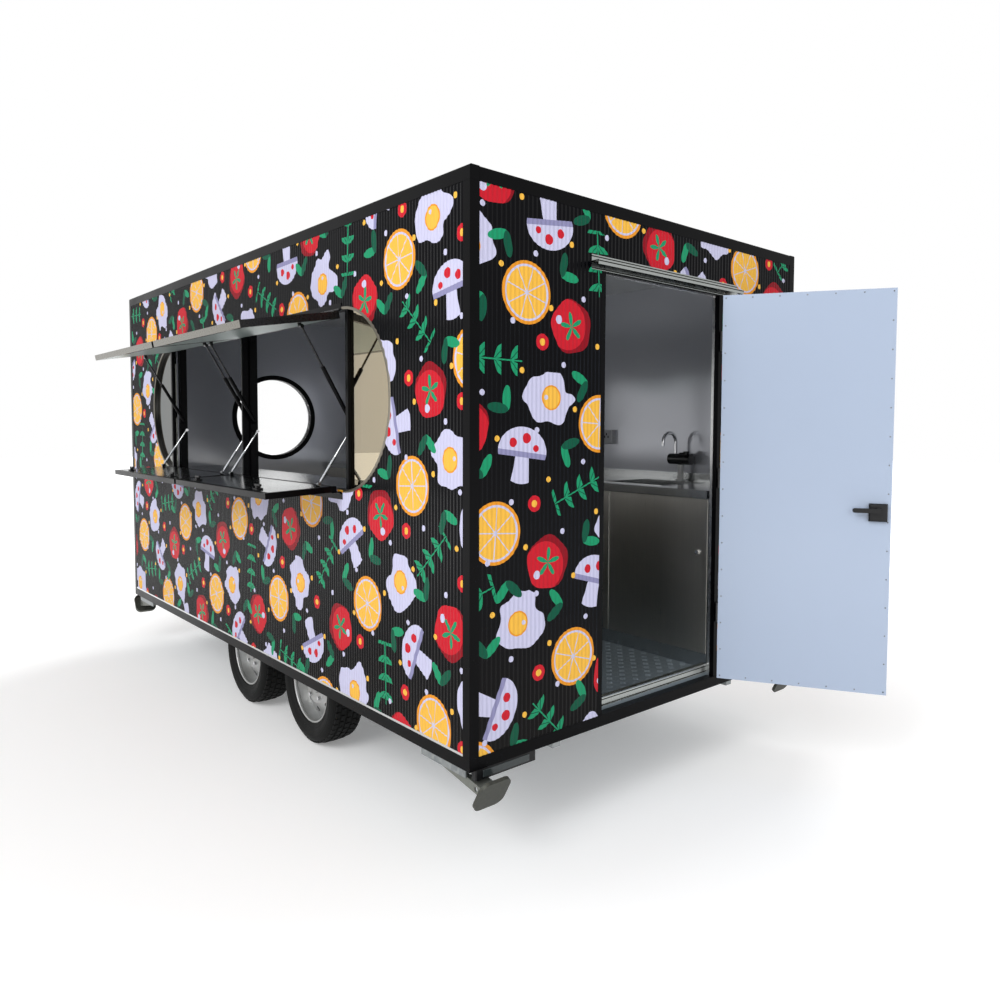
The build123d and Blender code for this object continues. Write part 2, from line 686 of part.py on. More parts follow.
def door_leaf():
    leaf = block(
        (DOOR_FACE, DOOR_FACE + DOOR_THICKNESS),
        (DOOR_RIGHT + PART_GAP, DOOR_LEFT - PART_GAP),
        (DOOR_BOTTOM, DOOR_TOP - PART_GAP),
    )
    leaf -= block(
        (DOOR_FACE, DOOR_FACE + PRINT_RECESS),
        (DOOR_RIGHT + PART_GAP + EDGE_FRAME, DOOR_LEFT - PART_GAP - EDGE_FRAME),
        (DOOR_BOTTOM + EDGE_FRAME, DOOR_TOP - PART_GAP - EDGE_FRAME),
    )
    for height in DOOR_HINGE_HEIGHTS:
        z = DOOR_BOTTOM + height
        strap = block(
            (DOOR_FACE - DOOR_STRAP_SHEET, DOOR_FACE),
            (DOOR_AXIS[1], DOOR_AXIS[1] + DOOR_STRAP),
            (z, z + DOOR_HINGE_LENGTH),
        )
        barrel = upright(Pos(*DOOR_AXIS) * Circle(DOOR_HINGE_RADIUS), z, z + DOOR_HINGE_LENGTH)
        leaf += strap + barrel
    return at_door(leaf)


def door_lock():
    """Slam lock on the inner face, with its lever towards the hinges."""
    face = DOOR_FACE + DOOR_THICKNESS
    edge = DOOR_LEFT - PART_GAP - LOCK_INSET
    z = DOOR_BOTTOM + LOCK_HEIGHT
    height = (z - LOCK_SIZE / 2, z + LOCK_SIZE / 2)
    case = block((face, face + LOCK_DEPTH), (edge - LOCK_SIZE, edge), height)
    case = fillet(case.edges().group_by(Axis.X)[-1], LOCK_DEPTH / 3)
    pivot = edge - LOCK_SIZE / 2
    lever_z = z + LOCK_SIZE / 8
    spindle = along(Pos(pivot, lever_z) * Circle(LOCK_DEPTH / 2), face, face + 2 * LOCK_DEPTH)
    grip = Pos(pivot - LOCK_LEVER / 2, lever_z) * SlotOverall(LOCK_LEVER + LOCK_DEPTH, LOCK_LEVER_WIDTH)
    lever = along(grip, face + 2 * LOCK_DEPTH - LOCK_LEVER_SHEET, face + 2 * LOCK_DEPTH)
    return at_door(case + spindle + lever)


def door_trims():
    """A rain strip over the doorway and a rounded sill at its foot."""
    middle = DOOR_OFFSET - DOOR_FRAME
    y = (middle - RAIN_STRIP_LENGTH / 2, middle + RAIN_STRIP_LENGTH / 2)
    face = -OUTER_END
    edge = face - RAIN_STRIP_REACH
    z = DOOR_TOP + PART_GAP
    shelf_z = z + RAIN_STRIP_LIP
    strip = block((edge, face), y, (shelf_z, shelf_z + RAIN_STRIP_SHEET))
    strip += block((face - RAIN_STRIP_SHEET, face), y, (z, z + 2 * RAIN_STRIP_LIP))
    strip += block((edge, edge + RAIN_STRIP_SHEET), y, (z + RAIN_STRIP_LIP / 2, shelf_z))
    y = (DOOR_RIGHT + WELD_GAP, DOOR_LEFT - WELD_GAP)
    sill = block((-INNER_END, -INNER_END + SILL_DEPTH), y, (FLOOR_TOP, FLOOR_TOP + SILL_HEIGHT))
    nose = sill.edges().filter_by(Axis.Y).sort_by(Axis.Z)[-2:]
    return group(strip, fillet(nose, SILL_DEPTH / 5))


# Fittings in the room
def cabinet(span, front, back, top):
    """Front and end panels of a run of cupboards that stands against a wall."""
    inward = 1 if back > front else -1
    height = (FLOOR_TOP, top - WORKTOP)
    skin = front + inward * COUNTER_SHEET
    body = block(span, (front, skin), height)
    for end, turn in ((span[0], 1), (span[1], -1)):
        body += block((end, end + turn * COUNTER_SHEET), (front, back), height)
    return body


def bowl_box(grow, z):
    x = BOWL_LENGTH / 2 + grow
    y = BOWL_WIDTH / 2 + grow
    middle = -INNER_SIDE + BOWL_SETBACK
    return block((BOWL_CENTRE - x, BOWL_CENTRE + x), (middle - y, middle + y), z)


def sink_counter():
    """Cupboards along the kitchen wall under a worktop that is cut for the bowl."""
    top = block(SINK_SPAN, (-INNER_SIDE, SINK_FRONT + COUNTER_SHEET), (SINK_TOP - WORKTOP, SINK_TOP))
    top += block(SINK_SPAN, (-INNER_SIDE, -INNER_SIDE + UPSTAND_SHEET), (SINK_TOP, SINK_TOP + UPSTAND))
    top -= bowl_box(BOWL_SHEET + SEAT_GAP, (SINK_TOP - WORKTOP, SINK_TOP))
    return top + cabinet(SINK_SPAN, SINK_FRONT, -INNER_SIDE, SINK_TOP)


def sink_bowl():
    bottom = SINK_TOP - BOWL_DEPTH
    rim = bowl_box(5 * BOWL_SHEET, (SINK_TOP, SINK_TOP + BOWL_SHEET))
    shell = bowl_box(BOWL_SHEET, (bottom - BOWL_SHEET, SINK_TOP)) + rim
    return shell - bowl_box(0, (bottom, SINK_TOP + BOWL_SHEET))


def tap():
    """Instant-heating tap: stem, cross-wise heater body, lever and a swan neck."""
    y = -INNER_SIDE + TAP_SETBACK
    body_z = SINK_TOP + TAP_STEM
    stem = upright(Pos(BOWL_CENTRE, y) * Circle(TAP_STEM_RADIUS), SINK_TOP, body_z)
    stem += upright(Pos(BOWL_CENTRE, y) * Circle(TAP_BODY_RADIUS), SINK_TOP, SINK_TOP + TAP_STEM_RADIUS / 2)
    half = TAP_BODY_LENGTH / 2
    body = bar_x(TAP_BODY_RADIUS, BOWL_CENTRE - half, BOWL_CENTRE + half, y, body_z)
    lever_x = BOWL_CENTRE - half / 2
    lever = upright(Pos(lever_x, y) * Circle(TAP_STEM_RADIUS), body_z, body_z + TAP_LEVER_RISE)
    grip_z = body_z + 2 * TAP_STEM_RADIUS
    lever += across(Pos(lever_x, grip_z) * Circle(TAP_SPOUT_RADIUS / 2), y, y + TAP_BODY_RADIUS * 2)
    spout_x = BOWL_CENTRE + half / 2
    rise = body_z + TAP_SPOUT_RISE
    neck = upright(Pos(spout_x, y) * Circle(TAP_SPOUT_RADIUS), body_z, rise)
    ring = Pos(TAP_SPOUT_BEND, 0) * Circle(TAP_SPOUT_RADIUS)
    arch = revolve(ring, axis=Axis((0, 0, 0), (0, -1, 0)), revolution_arc=180)
    arch = Pos(spout_x, y + TAP_SPOUT_BEND, rise) * Rot(0, 0, 90) * arch
    tip = upright(
        Pos(spout_x, y + 2 * TAP_SPOUT_BEND) * Circle(TAP_SPOUT_RADIUS),
        rise - 2 * TAP_SPOUT_RADIUS,
        rise,
    )
    return stem + body + lever + neck + arch + tip


def serving_counter():
    """Cupboards along the serving wall under their worktop."""
    depth = (COUNTER_FRONT - COUNTER_SHEET, INNER_SIDE)
    top = block(COUNTER_SPAN, depth, (COUNTER_TOP - WORKTOP, COUNTER_TOP))
    return top + cabinet(COUNTER_SPAN, COUNTER_FRONT, INNER_SIDE, COUNTER_TOP)


def wall_socket():
    z = GROUND_CLEARANCE + SOCKET_HEIGHT
    half = SOCKET_SIZE / 2
    depth = (-INNER_SIDE, -INNER_SIDE + SOCKET_DEPTH)
    box = block((SOCKET_PLACE - half, SOCKET_PLACE + half), depth, (z - half, z + half))
    return chamfer(box.edges().group_by(Axis.Y)[-1], SOCKET_DEPTH / 6)


# Running gear
def axle(x):
    """Rubber-sprung axle: a square tube with a trailing arm and a spindle at each end."""
    tube_x = x + TRAILING_ARM
    top = GROUND_CLEARANCE - BEAM
    arm_outer = WELL_INNER - PART_GAP
    arm_inner = arm_outer - ARM_WIDTH
    half = AXLE_TUBE / 2
    tube = block((tube_x - half, tube_x + half), (-arm_outer, arm_outer), (top - AXLE_TUBE, top))
    lean = degrees(atan2(TYRE_RADIUS - (top - half), -TRAILING_ARM))
    length = hypot(TRAILING_ARM, TYRE_RADIUS - (top - half))
    plate = Pos(length / 2, 0) * SlotOverall(length + ARM_DEPTH, ARM_DEPTH)
    plate = Pos(tube_x, top - half) * Rot(0, 0, lean) * plate
    spindle_end = WHEEL_Y + RIM_WIDTH / 2 - RIM_DISC_DEPTH
    for side in (-1, 1):
        ends = sorted((side * arm_inner, side * arm_outer))
        tube += across(plate, *ends)
        ends = sorted((side * arm_inner, side * spindle_end))
        tube += across(Pos(x, TYRE_RADIUS) * Circle(SPINDLE_RADIUS), *ends)
    return tube


def axles():
    return group(*[axle(x) for x in AXLE_X.values()])


def tyre():
    """Tyre as a ring round the Y axis with its shoulders cut back; the tread is finished elsewhere."""
    half = TYRE_WIDTH / 2
    inner = RIM_RADIUS + SEAT_GAP
    side = ((inner, half), (TYRE_RADIUS - TYRE_SHOULDER, half), (TYRE_RADIUS, half - TYRE_SHOULDER))
    ring = [*side, *[(r, -y) for r, y in reversed(side)]]
    return revolve(outline(ring), axis=Axis.Y)


def rim():
    """Steel wheel round the Y axis, with +Y outwards: barrel, dished disc, hub and cap."""
    half = RIM_WIDTH / 2
    barrel = RIM_RADIUS - RIM_WALL
    disc_out = half - RIM_DISC_DEPTH
    disc_in = disc_out - RIM_DISC
    hub_in = disc_out - HUB_LENGTH
    dish = half - RIM_DISH
    section = outline(
        (
            (0, disc_out + HUB_CAP),
            (HUB_RADIUS, disc_out + HUB_CAP / 2),
            (HUB_RADIUS, disc_out),
            (RIM_CROWN, disc_out),
            (barrel, dish),
            (barrel + RIM_WALL / 2, half),
            (RIM_RADIUS, half),
            (RIM_RADIUS, -half),
            (barrel, -half),
            (barrel, dish - RIM_DISC),
            (RIM_CROWN, disc_in),
            (HUB_RADIUS, disc_in),
            (HUB_RADIUS, hub_in),
            (0, hub_in),
        )
    )
    wheel = revolve(section, axis=Axis.Y)
    bore = SPINDLE_RADIUS + RUNNING_GAP
    wheel -= across(Circle(bore), hub_in, disc_out + SEAT_GAP)
    holes = Sketch() + PolarLocations(RIM_HOLE_CIRCLE, RIM_HOLES) * Circle(RIM_HOLE_RADIUS)
    return wheel - across(holes, -half, half)


def at_wheel(piece, x, side):
    """A wheel piece set on its spindle, with its outside to the given side."""
    return Pos(x, side * WHEEL_Y, TYRE_RADIUS) * Rot(0, 0, 0 if side > 0 else 180) * piece


# Drawbar
def drawbar():
    """Two rails that meet in a nose under the coupling."""
    half = DRAWBAR_TUBE / 2
    tail = BEAM_SPREAD / 2
    nose = DRAWBAR_NOSE / 2
    z = (DRAWBAR_TOP - DRAWBAR_TUBE, DRAWBAR_TOP)
    lean = atan2(tail - nose, DRAWBAR_LENGTH)
    width = DRAWBAR_TUBE / cos(lean)
    rail = outline(
        (
            (DRAWBAR_REAR, tail + half),
            (DRAWBAR_REAR, tail + half - width),
            (DRAWBAR_TIP, nose - width),
            (DRAWBAR_TIP, nose),
        )
    )
    solid = upright(rail, *z)
    solid += mirror(solid, about=Plane.XZ)
    return solid


def drawbar_half_gap(x):
    """Half the clear width between the drawbar's rails at a place along X."""
    tail = BEAM_SPREAD / 2
    nose = DRAWBAR_NOSE / 2
    lean = atan2(tail - nose, DRAWBAR_LENGTH)
    share = (x - DRAWBAR_REAR) / DRAWBAR_LENGTH
    outer = tail + DRAWBAR_TUBE / 2 + share * (nose - tail - DRAWBAR_TUBE / 2)
    return outer - DRAWBAR_TUBE / cos(lean)


def coupling():
    """Ball coupling: a channel on the drawbar's nose, a domed socket and a lift handle."""
    half = DRAWBAR_NOSE / 2
    ball = COUPLING_BALL / 2 + COUPLING_PLAY
    outer = ball + COUPLING_WALL
    z = DRAWBAR_TOP
    rear = DRAWBAR_TIP - COUPLING_TAIL
    centre_z = z + COUPLING_SOCKET
    body = block((rear, SOCKET_X), (-outer, outer), (z, centre_z + ball))
    body += upright(Pos(SOCKET_X, 0) * Circle(outer), z, centre_z)
    dome = Pos(SOCKET_X, 0, centre_z) * Sphere(outer)
    upper = block((SOCKET_X - outer, SOCKET_X + outer), (-outer, outer), (centre_z, centre_z + outer))
    body += dome & upper
    body -= upright(Pos(SOCKET_X, 0) * Circle(ball), z, centre_z)
    body -= Pos(SOCKET_X, 0, centre_z) * Sphere(ball)
    handle_z = centre_z + outer
    grip_z = (handle_z - COUPLING_WALL, handle_z + COUPLING_WALL)
    handle = block((rear, SOCKET_X), (-ball / 2, ball / 2), grip_z)
    handle = fillet(handle.edges().filter_by(Axis.Y), COUPLING_WALL / 2)
    stem_x = SOCKET_X - COUPLING_LEVER_SETBACK
    stem = (stem_x - COUPLING_WALL, stem_x + COUPLING_WALL)
    body += block(stem, (-half / 3, half / 3), (centre_z, handle_z))
    return body + handle


def jockey_tube():
    """Tube clamped in a cross plate between the drawbar's rails, with its cap and crank."""
    rear = JOCKEY_X - CLAMP_REACH
    front = JOCKEY_X + CLAMP_REACH
    rear_half = drawbar_half_gap(rear) + DRAWBAR_TUBE / 2
    front_half = drawbar_half_gap(front) + DRAWBAR_TUBE / 2
    plate = outline(((rear, rear_half), (rear, -rear_half), (front, -front_half), (front, front_half)))
    body = upright(plate, DRAWBAR_TOP, DRAWBAR_TOP + CLAMP_SHEET)
    at = Pos(JOCKEY_X, 0)
    body += upright(at * Circle(JOCKEY_TUBE_RADIUS + CLAMP_SHEET), DRAWBAR_TOP, DRAWBAR_TOP + DRAWBAR_TUBE)
    top = JOCKEY_TUBE_BOTTOM + JOCKEY_TUBE_LENGTH
    body += upright(at * Circle(JOCKEY_TUBE_RADIUS), JOCKEY_TUBE_BOTTOM, top)
    body -= upright(at * Circle(JOCKEY_STEM_RADIUS + SEAT_GAP), JOCKEY_TUBE_BOTTOM, top)
    body += upright(at * Circle(JOCKEY_TUBE_RADIUS + FORK_SHEET), top, top + CLAMP_SHEET)
    body += upright(at * Circle(CRANK_SHAFT), top, top + 4 * CLAMP_SHEET)
    arm_z = top + 3 * CLAMP_SHEET
    half = CLAMP_SHEET / 2
    body += block((JOCKEY_X - CRANK_REACH, JOCKEY_X), (-half, half), (arm_z, arm_z + CLAMP_SHEET))
    grip = Pos(JOCKEY_X - CRANK_REACH, 0) * Circle(CLAMP_SHEET)
    return body + upright(grip, arm_z, arm_z + CRANK_GRIP)


def jockey_stem():
    """Inner tube that the crank raises and lowers."""
    top = JOCKEY_TUBE_BOTTOM + JOCKEY_TUBE_LENGTH - JOCKEY_LIFT - CLAMP_SHEET
    foot = JOCKEY_CROWN + CLAMP_SHEET + SEAT_GAP
    stem = upright(Pos(JOCKEY_X, 0) * Circle(JOCKEY_STEM_RADIUS), foot, top)
    pivot = Circle(JOCKEY_STEM_RADIUS / 2)
    return stem + upright(Pos(JOCKEY_X, 0) * pivot, JOCKEY_CROWN, JOCKEY_CROWN + 2 * CLAMP_SHEET)


def jockey_fork():
    """Fork that swivels under the stem and trails the wheel."""
    crown = upright(Pos(JOCKEY_X, 0) * Circle(JOCKEY_TUBE_RADIUS), JOCKEY_CROWN, JOCKEY_CROWN + CLAMP_SHEET)
    half = JOCKEY_WHEEL_WIDTH / 2 + PART_GAP
    bridge = (JOCKEY_X - JOCKEY_TRAIL - JOCKEY_TUBE_RADIUS, JOCKEY_X + JOCKEY_TUBE_RADIUS)
    reach = half + FORK_SHEET
    crown += block(bridge, (-reach, reach), (JOCKEY_CROWN, JOCKEY_CROWN + FORK_SHEET))
    axle_x = JOCKEY_X - JOCKEY_TRAIL
    blade = outline(
        (
            (bridge[0], JOCKEY_CROWN + FORK_SHEET),
            (bridge[1], JOCKEY_CROWN + FORK_SHEET),
            (axle_x + FORK_TOE, JOCKEY_WHEEL_RADIUS - FORK_TOE_DROP),
            (axle_x - FORK_TOE, JOCKEY_WHEEL_RADIUS - FORK_TOE_DROP),
        )
    )
    for side in (-1, 1):
        ends = sorted((side * half, side * reach))
        crown += across(blade, *ends)
    pin = across(Pos(axle_x, JOCKEY_WHEEL_RADIUS) * Circle(STEADY_PIN_RADIUS), -reach, reach)
    pivot = Circle(JOCKEY_STEM_RADIUS / 2 + RUNNING_GAP)
    return crown + pin - upright(Pos(JOCKEY_X, 0) * pivot, 0, BODY_TOP)


def jockey_wheel():
    half = JOCKEY_WHEEL_WIDTH / 2
    round_off = JOCKEY_WHEEL_WIDTH / 6
    section = outline(
        (
            (STEADY_PIN_RADIUS + RUNNING_GAP, half),
            (JOCKEY_WHEEL_RADIUS - round_off, half),
            (JOCKEY_WHEEL_RADIUS, half - round_off),
            (JOCKEY_WHEEL_RADIUS, round_off - half),
            (JOCKEY_WHEEL_RADIUS - round_off, -half),
            (STEADY_PIN_RADIUS + RUNNING_GAP, -half),
        )
    )
    wheel = revolve(section, axis=Axis.Y)
    return Pos(JOCKEY_X - JOCKEY_TRAIL, 0, JOCKEY_WHEEL_RADIUS) * wheel


# Corner steadies, drawn for the rear serving-side corner
def steady_base():
    """Channel under the floor with the hinge pin of the leg across it."""
    half = STEADY_CHANNEL / 2
    x = (-STEADY_PIVOT_X - STEADY_CHANNEL_REACH, -STEADY_PIVOT_X + STEADY_LEG_DEPTH)
    low = GROUND_CLEARANCE - STEADY_DEPTH
    channel = block(x, (-half, half), (low, GROUND_CLEARANCE))
    inside = half - STEADY_SHEET
    channel -= block(x, (-inside, inside), (low, GROUND_CLEARANCE - STEADY_SHEET))
    pin = across(Pos(-STEADY_PIVOT_X, STEADY_PIVOT_Z) * Circle(STEADY_PIN_RADIUS), -half, half)
    return Pos(0, STEADY_Y, 0) * (channel + pin)


def steady_bases():
    return group(*[piece for side in both_sides(steady_base()) for piece in both_ends(side)])


def steady_leg():
    """Pressed leg on its pin, parked. Its dished foot lies level once the leg is down."""
    half = STEADY_LEG_WIDTH / 2
    depth = STEADY_LEG_DEPTH / 2
    bore = STEADY_PIN_RADIUS + RUNNING_GAP
    leg = block((-STEADY_LEG - depth, 0), (-half, half), (-depth, depth))
    leg += across(Circle(depth), -half, half)
    inside = half - STEADY_LEG_SHEET
    end = -STEADY_LEG - depth
    leg -= block((end, -2 * depth), (-inside, inside), (-depth, depth - STEADY_LEG_SHEET))
    leg -= across(Circle(bore), -half, half)
    eye = -STEADY_LEG + STEADY_FOOT_HEIGHT + STEADY_LEG_DEPTH
    leg -= across(Pos(eye, 0) * Circle(STEADY_EYE_RADIUS), -half, half)
    slot = Pos(eye + STEADY_SLOT, 0) * SlotOverall(STEADY_SLOT, STEADY_SLOT_WIDTH)
    leg -= upright(slot, 0, depth)
    foot_half = STEADY_FOOT_HEIGHT / 2
    beyond = block((2 * end, -foot_half), (end, -end), (end, -end))
    foot = along(RectangleRounded(STEADY_FOOT, STEADY_FOOT, STEADY_FOOT_ROUND), -foot_half, foot_half)
    inner = STEADY_FOOT - 2 * STEADY_LEG_SHEET
    dish = RectangleRounded(inner, inner, STEADY_FOOT_ROUND - STEADY_LEG_SHEET)
    foot -= along(dish, STEADY_LEG_SHEET - foot_half, foot_half)
    tip = Pos(-STEADY_LEG, 0, 0) * Rot(0, STEADY_LOWERED_ANGLE - 90, 0)
    parked = Rot(0, -STEADY_PARKED_ANGLE, 0) * (leg - tip * beyond + tip * foot)
    return Pos(-STEADY_PIVOT_X, STEADY_Y, STEADY_PIVOT_Z) * parked


def lamp_bars():
    """Moulded bars under the rear corners that carry the lamps."""
    x = (-BODY_END + PANEL_RECESS, -BODY_END + PANEL_RECESS + LAMP_BAR_DEPTH)
    y = (BODY_SIDE - LAMP_BAR_DEPTH - LAMP_BAR_LENGTH, BODY_SIDE - LAMP_BAR_DEPTH)
    bar = block(x, y, (GROUND_CLEARANCE - LAMP_BAR_HEIGHT, GROUND_CLEARANCE))
    bar = fillet(bar.edges().filter_by(Axis.Z), LAMP_BAR_DEPTH / 4)
    return group(*both_sides(bar))


# Every node by name
NODES = {
    "cabin_frame": cabin_frame(),
    "chassis_frame": chassis_frame(),
    "floor": floor(),
    "wheel_boxes": wheel_boxes(),
    "wall_serving": wall_serving(),
    "wall_kitchen": wall_kitchen(),
    "wall_rear": wall_rear(),
    "wall_front": wall_front(),
    "roof": roof(),
    "porthole_ring": porthole_ring(),
    "window_lining": window_lining(),
    "window_posts": window_posts(),
    "glazing": glazing(),
    "hinge_leaves": hinge_leaves(),
    "door_frame": door_frame(),
    "door_leaf": door_leaf(),
    "door_lock": door_lock(),
    "door_trims": door_trims(),
    "sink_counter": sink_counter(),
    "sink_bowl": sink_bowl(),
    "tap": tap(),
    "serving_counter": serving_counter(),
    "wall_socket": wall_socket(),
    "axles": axles(),
    "drawbar": drawbar(),
    "coupling": coupling(),
    "jockey_tube": jockey_tube(),
    "jockey_stem": jockey_stem(),
    "jockey_fork": jockey_fork(),
    "jockey_wheel": jockey_wheel(),
    "steady_bases": steady_bases(),
    "lamp_bars": lamp_bars(),
}

for name, *posts in LEAVES:
    NODES["flap_" + name] = turned(flap_closed(posts), FLAP_AXIS, FLAP_ANGLE)
    NODES["flap_rods_" + name] = flap_rods(posts)
    NODES["flap_barrels_" + name] = flap_barrels(posts)
    NODES["shelf_" + name] = turned(shelf_closed(posts), SHELF_AXIS, -SHELF_ANGLE)
    NODES["shelf_barrels_" + name] = shelf_barrels(posts)
    NODES["shelf_rods_" + name] = shelf_rods(posts)

for end, x in AXLE_X.items():
    for side_name, side in (("left", 1), ("right", -1)):
        NODES["tyre_" + end + "_" + side_name] = at_wheel(tyre(), x, side)
        NODES["rim_" + end + "_" + side_name] = at_wheel(rim(), x, side)

for side_name, about in (("left", None), ("right", Plane.XZ)):
    rear = steady_leg()
    front = mirror(rear, about=Plane.YZ)
    for end, leg in (("rear", rear), ("front", front)):
        NODES["steady_" + end + "_" + side_name] = mirror(leg, about=about) if about else leg

# The origin goes to the middle of the footprint, on the ground
BOXES = [shape.bounding_box() for shape in NODES.values()]
ORIGIN_X = (min(box.min.X for box in BOXES) + max(box.max.X for box in BOXES)) / 2
ORIGIN_Y = (min(box.min.Y for box in BOXES) + max(box.max.Y for box in BOXES)) / 2

os.makedirs("parts", exist_ok=True)
for name, shape in NODES.items():
    export_step(Pos(-ORIGIN_X, -ORIGIN_Y, 0) * shape, "parts/" + name + ".step")
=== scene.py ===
import json
from math import cos, pi, radians, sin, sqrt

import bmesh
import bpy
from mathutils import Matrix, Vector


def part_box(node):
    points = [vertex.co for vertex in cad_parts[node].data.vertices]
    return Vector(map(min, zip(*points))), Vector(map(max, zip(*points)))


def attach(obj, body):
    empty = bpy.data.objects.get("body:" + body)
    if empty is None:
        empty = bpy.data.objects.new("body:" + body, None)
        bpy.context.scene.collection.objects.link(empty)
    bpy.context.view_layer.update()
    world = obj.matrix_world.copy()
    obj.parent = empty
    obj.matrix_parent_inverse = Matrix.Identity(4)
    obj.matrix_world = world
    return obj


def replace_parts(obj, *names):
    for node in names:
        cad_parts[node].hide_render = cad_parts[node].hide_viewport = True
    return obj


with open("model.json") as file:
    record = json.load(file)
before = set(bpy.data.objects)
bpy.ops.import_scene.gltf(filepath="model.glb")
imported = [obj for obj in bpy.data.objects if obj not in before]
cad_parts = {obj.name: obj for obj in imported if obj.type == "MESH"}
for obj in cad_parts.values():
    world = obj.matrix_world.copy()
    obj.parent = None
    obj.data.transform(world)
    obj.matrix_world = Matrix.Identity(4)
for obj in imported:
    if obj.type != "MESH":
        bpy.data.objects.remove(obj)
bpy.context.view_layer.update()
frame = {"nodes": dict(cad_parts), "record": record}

nodes = frame["nodes"]
joints = {joint["name"]: joint for joint in frame["record"]["behaviour"]["joints"]}

# Camera
# A phone held off the rear corner on the serving side, about 1.5 m up. Its place is given
# in metres from the middle of the cabin's floor plan, on the ground.
cabin_low, cabin_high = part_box("cabin_frame")
cabin_middle = Vector(((cabin_low.x + cabin_high.x) / 2, (cabin_low.y + cabin_high.y) / 2, 0))
EYE = Vector((-4.191, 2.585, 1.537))
SIGHT = Vector((0.7237, -0.6881, -0.0532))
SIGHT_ROLL = radians(0.455)
lens = bpy.data.cameras.new("camera")
lens.sensor_width = 36
lens.lens = 28.636
lens.shift_x = -0.07665
lens.shift_y = -0.02803
camera = bpy.data.objects.new("camera", lens)
turned = SIGHT.to_track_quat("-Z", "Y").to_matrix().to_4x4() @ Matrix.Rotation(SIGHT_ROLL, 4, "Z")
camera.matrix_world = Matrix.Translation(cabin_middle + EYE) @ turned
bpy.context.collection.objects.link(camera)
bpy.context.scene.camera = camera
bpy.context.scene.view_settings.view_transform = "Standard"


# Studio
# A seamless white floor that keeps the trailer's shadow, and soft boxes: a large one before
# the serving side, a weaker one behind the rear end and one over the far side.
FLOOR_HALF = 40
FLOOR_GLOW = 0.20
FAR_GLOW = 1.0
GLOW_REACH = (2.4, 6.5)
SKY_LIGHT = 0.62
WHITE = (1, 1, 1, 1)
LAMP_AIM = Vector((0, 0, 1.2))
# Columns: place from the cabin's middle, width, watts.
SOFT_BOXES = (
    ((-3.2, 8.5, 6.5), 5.0, 480),
    ((-7.5, 2.4, 2.6), 3.0, 80),
    ((5.0, -7.5, 6.0), 5.0, 420),
)


def linear(code):
    """An sRGB hex colour as linear RGBA."""
    shares = [int(code[start : start + 2], 16) / 255 for start in (1, 3, 5)]
    bent = [s / 12.92 if s <= 0.04045 else ((s + 0.055) / 1.055) ** 2.4 for s in shares]
    return (*bent, 1)


def add_node(tree, kind, inputs=(), **settings):
    """Adds a node. An operation may follow its kind. Inputs go by name or in order, and one that is
    a node gives its first live output."""
    kind, _, operation = kind.partition(" ")
    shader_kind = f"ShaderNode{kind}"
    node = tree.nodes.new(shader_kind if hasattr(bpy.types, shader_kind) else kind)
    if operation:
        node.operation = operation
    for name, value in settings.items():
        setattr(node, name, value)
    for key, value in (inputs if isinstance(inputs, dict) else dict(enumerate(inputs))).items():
        if isinstance(value, bpy.types.Node):
            value = next(output for output in value.outputs if output.enabled)
        if isinstance(value, bpy.types.NodeSocket):
            tree.links.new(value, node.inputs[key])
        else:
            node.inputs[key].default_value = value
    return node


def background_rays(tree):
    """One for rays that show the white background: seen straight, mirrored or through glass."""
    path = add_node(tree, "LightPath").outputs
    seen = add_node(tree, "Math MAXIMUM", (path["Is Camera Ray"], path["Is Glossy Ray"]))
    return add_node(tree, "Math MAXIMUM", (seen, path["Is Transmission Ray"]))


floor_mesh = bpy.data.meshes.new("studio_floor")
corners = [(FLOOR_HALF * x, FLOOR_HALF * y, 0) for x, y in ((-1, -1), (1, -1), (1, 1), (-1, 1))]
floor_mesh.from_pydata(corners, [], [(0, 1, 2, 3)])
studio_floor = bpy.data.objects.new("studio_floor", floor_mesh)
bpy.context.collection.objects.link(studio_floor)

paper = bpy.data.materials.new("white_paper")
paper.use_nodes = True
tree = paper.node_tree
tree.nodes.clear()
seen = background_rays(tree)
place = add_node(tree, "TexCoord").outputs["Object"]
away = add_node(tree, "VectorMath DISTANCE", (place, cabin_middle))
level = add_node(tree, "MapRange", (away, *GLOW_REACH, FLOOR_GLOW, FAR_GLOW))
glow = add_node(tree, "Math MULTIPLY", (seen, level))
matt = add_node(tree, "BsdfDiffuse", {"Color": linear("#f2f2f2")})
shine = add_node(tree, "Emission", {"Color": WHITE, "Strength": glow})
both = add_node(tree, "AddShader", (matt, shine))
add_node(tree, "OutputMaterial", {"Surface": both})
floor_mesh.materials.append(paper)

world = bpy.data.worlds.new("studio")
world.use_nodes = True
tree = world.node_tree
tree.nodes.clear()
level = add_node(tree, "MapRange", {"Value": background_rays(tree), "To Min": SKY_LIGHT, "To Max": 1.0})
sky = add_node(tree, "Background", {"Color": WHITE, "Strength": level})
add_node(tree, "OutputWorld", {"Surface": sky})
bpy.context.scene.world = world

for index, (place, width, watts) in enumerate(SOFT_BOXES):
    light = bpy.data.lights.new(f"soft_box_{index}", "AREA")
    light.size = width
    light.energy = watts
    lamp = bpy.data.objects.new(light.name, light)
    lamp.location = cabin_middle + Vector(place)
    aim = cabin_middle + LAMP_AIM - lamp.location
    lamp.rotation_euler = aim.to_track_quat("-Z", "Y").to_euler()
    bpy.context.collection.objects.link(lamp)


# Cabin frame, posts and trims in black enamel
# Square steel bars welded round the cabin and sprayed with gloss black enamel. The film is
# smooth with a faint orange peel, and picks up dust that dulls it in patches.
PEEL = 0.004
DUST_PATCH = 0.25


def new_material(name, sockets):
    """A material with its shader's constant values set."""
    material = bpy.data.materials.new(name)
    material.use_nodes = True
    for socket, value in sockets.items():
        material.node_tree.nodes["Principled BSDF"].inputs[socket].default_value = value
    return material, material.node_tree


